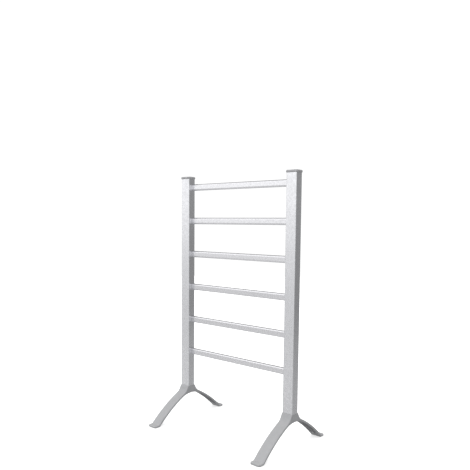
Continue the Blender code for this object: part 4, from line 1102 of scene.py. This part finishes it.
class TOWELWARMER_OT_screws(bpy.types.Operator):
    """Make the rails' screws at the back and the feet's screws under the arches."""

    bl_idname = "towelwarmer.screws"
    bl_label = "Screws"

    def execute(self, context):
        steel = plated_steel("zinc_screw", tuple(context.scene.warmer_finish.steel), roughness=0.3)
        low, high = box_of("left_rail_screw_1")
        seat = UPRIGHT_BACK + context.scene.warmer_sizes.fit_gap
        screw = screw_mesh("rail_screw_pattern", high[0] - low[0], high[1] - seat, 3 * MM, seat - low[1])
        seats = {}
        for node in (f"{side}_rail_screw_{number}" for side in SIDES for number in RAIL_NUMBERS):
            x, _, z = centre_of(node)
            seats[node] = (x, seat, z)
        screw_pieces(screw, seats, Matrix.Identity(4), steel)
        width, _, height = size_of("left_foot_front_screw")
        screw = screw_mesh("foot_screw_pattern", width, FOOT_SCREW_HEAD, 5 * MM, height - FOOT_SCREW_HEAD)
        seats = {}
        for node in (f"{side}_foot_{end}_screw" for side in SIDES for end in ENDS):
            x, y, _ = centre_of(node)
            seats[node] = (x, y, box_of(node)[0][2] + FOOT_SCREW_HEAD)
        screw_pieces(screw, seats, Matrix.Rotation(-math.pi / 2, 4, "X"), steel)
        return {"FINISHED"}


class TOWELWARMER_OT_switch(bpy.types.Operator):
    """Make the rocker switch on the right upright's inner face."""

    bl_idname = "towelwarmer.switch"
    bl_label = "Rocker switch"

    def execute(self, context):
        finish = context.scene.warmer_finish
        bezel = moulded("moulded_switch", tuple(finish.switch), roughness=0.38, fineness=2200.0, relief=0.00002)
        key = moulded("moulded_rocker", tuple(finish.rocker), roughness=0.3, fineness=2600.0, relief=0.00001)
        housing_piece(bezel, context.scene.warmer_sizes)
        rocker_piece(key, context.scene.warmer_sizes)
        return {"FINISHED"}


class TOWELWARMER_OT_gland(bpy.types.Operator):
    """Make the cord gland in the right upright's back."""

    bl_idname = "towelwarmer.gland"
    bl_label = "Cord gland"

    def execute(self, context):
        colour = tuple(context.scene.warmer_finish.gland)
        material = moulded("moulded_gland", colour, roughness=0.5, fineness=1800.0)
        gland_piece(material, context.scene.warmer_sizes)
        return {"FINISHED"}


class TOWELWARMER_OT_inner_parts(bpy.types.Operator):
    """Give the frame's own inner parts their finishes."""

    bl_idname = "towelwarmer.inner_parts"
    bl_label = "Inner parts"

    def execute(self, context):
        finishes = {
            "heating_cable": soft_polymer("silicone_cable", (0.55, 0.09, 0.05), 0.55),
            "terminal_block": moulded("glazed_ceramic", (0.80, 0.78, 0.72), 0.35, 900.0),
            "thermal_cutout": moulded("phenolic_case", (0.04, 0.04, 0.042), 0.4, 1600.0),
            "foot_plug": plain_metal("cast_aluminium", (0.62, 0.62, 0.63), 0.45),
            "rail_plug": moulded("heatproof_plug", (0.76, 0.74, 0.69), 0.55, 1500.0),
            "terminal": plain_metal("brass_blade", (0.80, 0.60, 0.26), 0.32),
            "supply_lead": soft_polymer("brown_lead", (0.16, 0.07, 0.03), 0.5),
            "neutral_lead": soft_polymer("blue_lead", (0.03, 0.10, 0.42), 0.5),
            "lead": soft_polymer("white_lead", (0.68, 0.67, 0.64), 0.5),
        }
        replaced = {"upright", "foot", "top_cap", "housing", "rocker", "gland", "pad", "screw"}
        for node in frame["nodes"]:
            kind = next((key for key in finishes if key in node), None)
            if kind is None:
                if not any(word in node for word in replaced) and not node.startswith("rail_"):
                    raise RuntimeError(f"{node} has no finish")
                continue
            for slot in bpy.data.objects[node].material_slots:
                slot.material = finishes[kind]
        return {"FINISHED"}


class TOWELWARMER_OT_stage(bpy.types.Operator):
    """Make the pale floor, the soft studio light and the camera."""

    bl_idname = "towelwarmer.stage"
    bl_label = "Stage"

    def execute(self, context):
        stage = context.scene.warmer_stage
        make_floor(stage)
        make_world(stage)
        make_lights()
        make_camera(stage)
        context.scene.view_settings.view_transform = "Standard"
        return {"FINISHED"}


# ---------------------------------------------------------------- stage

WHITE = (1, 1, 1, 1)
FLOOR_EDGES = 64
FLOOR_TONES = ((0.88, 0.88, 0.88), (0.92, 0.92, 0.92))
# How bright the floor looks in metal: near the rack and far from it, on its bright side and on the other.
NEAR_FAR = (0.6, 3.0)  # metres from the rack's middle
BRIGHT_SIDE = (-0.65, -0.76, 0.0)
SIDES_APART = (-0.6, 0.6)  # how far to either side the level goes on changing, as a cosine
BRIGHT_LEVELS = (0.70, 0.66)
DIM_LEVELS = (0.43, 0.26)
# Patches of the studio: their axis, the cosines between which they fade in, then their level outside and inside.
FRONT_CARD = ((-0.605, -0.756, 0.252), 0.5, 0.9, 0.315, 1.16)  # mirrored by the uprights and rails
SIDE_CARD = ((0.652, -0.752, 0.100), 0.7, 0.95, 0.0, 0.66)  # a smaller one, for the rails' ends
LOW_WALL = (BRIGHT_SIDE, *SIDES_APART, 0.26, 0.66)
OVER_HORIZON = ((0.0, 0.0, 1.0), -0.10, 0.04)
WIDE_LIGHT = ((-0.52, -0.72, 0.46), -0.15, 0.65)  # the soft light on mouldings
SEEN_LEVEL = 1.05  # how bright the studio is to the camera


def dot(tree, direction, axis):
    node = add_node(tree, "ShaderNodeVectorMath", {"operation": "DOT_PRODUCT"}, i0=direction, i1=axis)
    return node.outputs["Value"]


def floor_in_gloss(tree):
    """How bright the floor looks mirrored in satin metal: dimmer to the back right and further out."""
    point = object_point(tree)
    out = add_node(tree, "ShaderNodeVectorMath", {"operation": "LENGTH"}, i0=point).outputs["Value"]
    aside = maths(tree, "DIVIDE", dot(tree, point, BRIGHT_SIDE), maths(tree, "ADD", out, 0.2))
    bright = remap(tree, out, *NEAR_FAR, *BRIGHT_LEVELS)
    dim = remap(tree, out, *NEAR_FAR, *DIM_LEVELS)
    return mix_values(tree, remap(tree, aside, *SIDES_APART), dim, bright)


def floor_mesh(radius):
    """A round sheet: radius r times (cos a, sin a), with r growing as the square of its step."""
    share = np.linspace(0, 1, 24) ** 2
    angle = np.linspace(0, 2 * math.pi, FLOOR_EDGES, endpoint=False)
    circle = np.column_stack((np.cos(angle), np.sin(angle), np.zeros(FLOOR_EDGES)))
    grid = (share[:, None, None] * radius) * circle[None] - np.array((0, 0, 0.2 * MM))
    mesh = mesh_from_arrays("pale_floor", grid.reshape(-1, 3), grid_faces(*grid.shape[:2], False, True))
    work = bmesh.new()
    work.from_mesh(mesh)
    bmesh.ops.remove_doubles(work, verts=work.verts[:], dist=1e-6)
    bmesh.ops.recalc_face_normals(work, faces=work.faces[:])
    if sum(face.normal.z for face in work.faces) < 0:
        bmesh.ops.reverse_faces(work, faces=work.faces[:])
    work.to_mesh(mesh)
    work.free()
    return mesh


def make_floor(stage):
    """The pale floor, with a matt look of its own to the camera and a set brightness to every other ray."""
    floor = link(bpy.data.objects.new("pale_floor", floor_mesh(stage.floor_radius)))
    material, tree, shader = new_material("matt_floor", specular=0.1)
    value = noise(tree, 2.5, 4.0)
    tone = remap(tree, value, *NOISE_MIDDLE)
    tree.links.new(blend_colours(tree, tone, *FLOOR_TONES), shader.inputs["Base Color"])
    tree.links.new(remap(tree, value, *NOISE_MIDDLE, 0.85, 0.95), shader.inputs["Roughness"])
    paths = tree.nodes.new("ShaderNodeLightPath").outputs
    seen = paths["Is Camera Ray"]
    shader.inputs["Emission Color"].default_value = WHITE
    tree.links.new(maths(tree, "MULTIPLY", seen, 0.5), shader.inputs["Emission Strength"])
    bounced = mix_values(tree, paths["Is Glossy Ray"], stage.floor_bounce, floor_in_gloss(tree))
    unseen = add_node(tree, "ShaderNodeEmission", Strength=bounced)
    mixed = add_node(tree, "ShaderNodeMixShader", i0=seen, i1=unseen.outputs[0], i2=shader.outputs[0])
    tree.links.new(mixed.outputs[0], tree.nodes["Material Output"].inputs[0])
    floor.data.materials.append(material)


def toward(tree, direction, axis, low, high, to_low=0.0, to_high=1.0):
    """A smooth step from one level to the other as the direction turns towards the axis."""
    value = remap(tree, dot(tree, direction, axis), low, high, to_low, to_high)
    tree.nodes[-1].interpolation_type = "SMOOTHSTEP"
    return value


def make_world(stage):
    """A studio all round: white where seen, a wide soft light for mouldings, white cards for metal to mirror."""
    world = bpy.data.worlds.new("studio")
    bpy.context.scene.world = world
    world.use_nodes = True
    tree = world.node_tree
    tree.nodes.clear()
    direction = tree.nodes.new("ShaderNodeTexCoord").outputs["Generated"]
    wide = toward(tree, direction, *WIDE_LIGHT, stage.back_light, stage.front_light)
    low, front, side, above = (
        toward(tree, direction, *patch) for patch in (LOW_WALL, FRONT_CARD, SIDE_CARD, OVER_HORIZON)
    )
    mirrored = mix_values(tree, above, low, maths(tree, "ADD", front, side))
    paths = tree.nodes.new("ShaderNodeLightPath").outputs
    lit = mix_values(tree, paths["Is Glossy Ray"], wide, mirrored)
    shown = mix_values(tree, paths["Is Camera Ray"], lit, SEEN_LEVEL)
    background = add_node(tree, "ShaderNodeBackground", Strength=shown, Color=WHITE)
    output = tree.nodes.new("ShaderNodeOutputWorld")
    tree.links.new(background.outputs[0], output.inputs[0])


# Each light's name, place, size in metres and power in watts.
LIGHTS = (
    ("key_softbox", (-1.6, -2.6, 2.8), 2.2, 8.0),
    ("top_softbox", (0.4, 0.3, 3.0), 2.5, 6.0),
)


def make_lights():
    """Square softboxes, each turned to face the rack's middle."""
    target = Vector((0, 0, 0.45))
    for name, place, size, power in LIGHTS:
        light = bpy.data.lights.new(name, "AREA")
        light.size = size
        light.energy = power
        lamp = bpy.data.objects.new(name, light)
        lamp.location = place
        lamp.visible_glossy = False
        lamp.rotation_euler = (target - Vector(place)).to_track_quat("-Z", "Y").to_euler()
        link(lamp)


def make_camera(stage):
    """A camera at its place, looking along its azimuth and down by its elevation, rolled a little."""
    data = bpy.data.cameras.new("camera")
    data.lens = stage.lens
    data.sensor_width = 36.0
    data.shift_y = stage.rise
    data.clip_end = 50.0
    camera = link(bpy.data.objects.new("camera", data))
    az, el, roll = stage.azimuth, stage.elevation, stage.roll
    forward = Vector((-math.sin(az) * math.cos(el), math.cos(az) * math.cos(el), -math.sin(el)))
    right = forward.cross(Vector((0, 0, 1))).normalized()
    above = right.cross(forward)
    side = right * math.cos(roll) + above * math.sin(roll)
    upward = above * math.cos(roll) - right * math.sin(roll)
    axes = Matrix((side, upward, -forward)).transposed().to_4x4()
    camera.matrix_world = Matrix.Translation(Vector(stage.place)) @ axes
    bpy.context.scene.camera = camera


OPERATORS = (
    TOWELWARMER_OT_effects,
    TOWELWARMER_OT_uprights,
    TOWELWARMER_OT_rails,
    TOWELWARMER_OT_caps,
    TOWELWARMER_OT_feet,
    TOWELWARMER_OT_screws,
    TOWELWARMER_OT_switch,
    TOWELWARMER_OT_gland,
    TOWELWARMER_OT_inner_parts,
    TOWELWARMER_OT_stage,
)


class TOWELWARMER_PT_panel(bpy.types.Panel):
    """Lists the towel warmer's settings and the pieces that it can make."""

    bl_idname = "TOWELWARMER_PT_panel"
    bl_label = "Towel Warmer"
    bl_space_type = "VIEW_3D"
    bl_region_type = "UI"
    bl_category = "Towel Warmer"

    def draw(self, context):
        for label, group in SCENE_GROUPS:
            box = self.layout.box()
            for setting in group.__annotations__:
                box.prop(getattr(context.scene, label), setting)
        for operator in OPERATORS:
            self.layout.operator(operator.bl_idname)


CLASSES = (*(group for _, group in SCENE_GROUPS), *OPERATORS, TOWELWARMER_PT_panel)


def register():
    for cls in CLASSES:
        bpy.utils.register_class(cls)
    for label, group in SCENE_GROUPS:
        setattr(bpy.types.Scene, label, PointerProperty(type=group))


def unregister():
    for label, _ in SCENE_GROUPS:
        delattr(bpy.types.Scene, label)
    for cls in reversed(CLASSES):
        bpy.utils.unregister_class(cls)


def main():
    register()
    for operator in OPERATORS:
        family, action = operator.bl_idname.split(".")
        getattr(getattr(bpy.ops, family), action)()


if __name__ == "__main__":
    main()
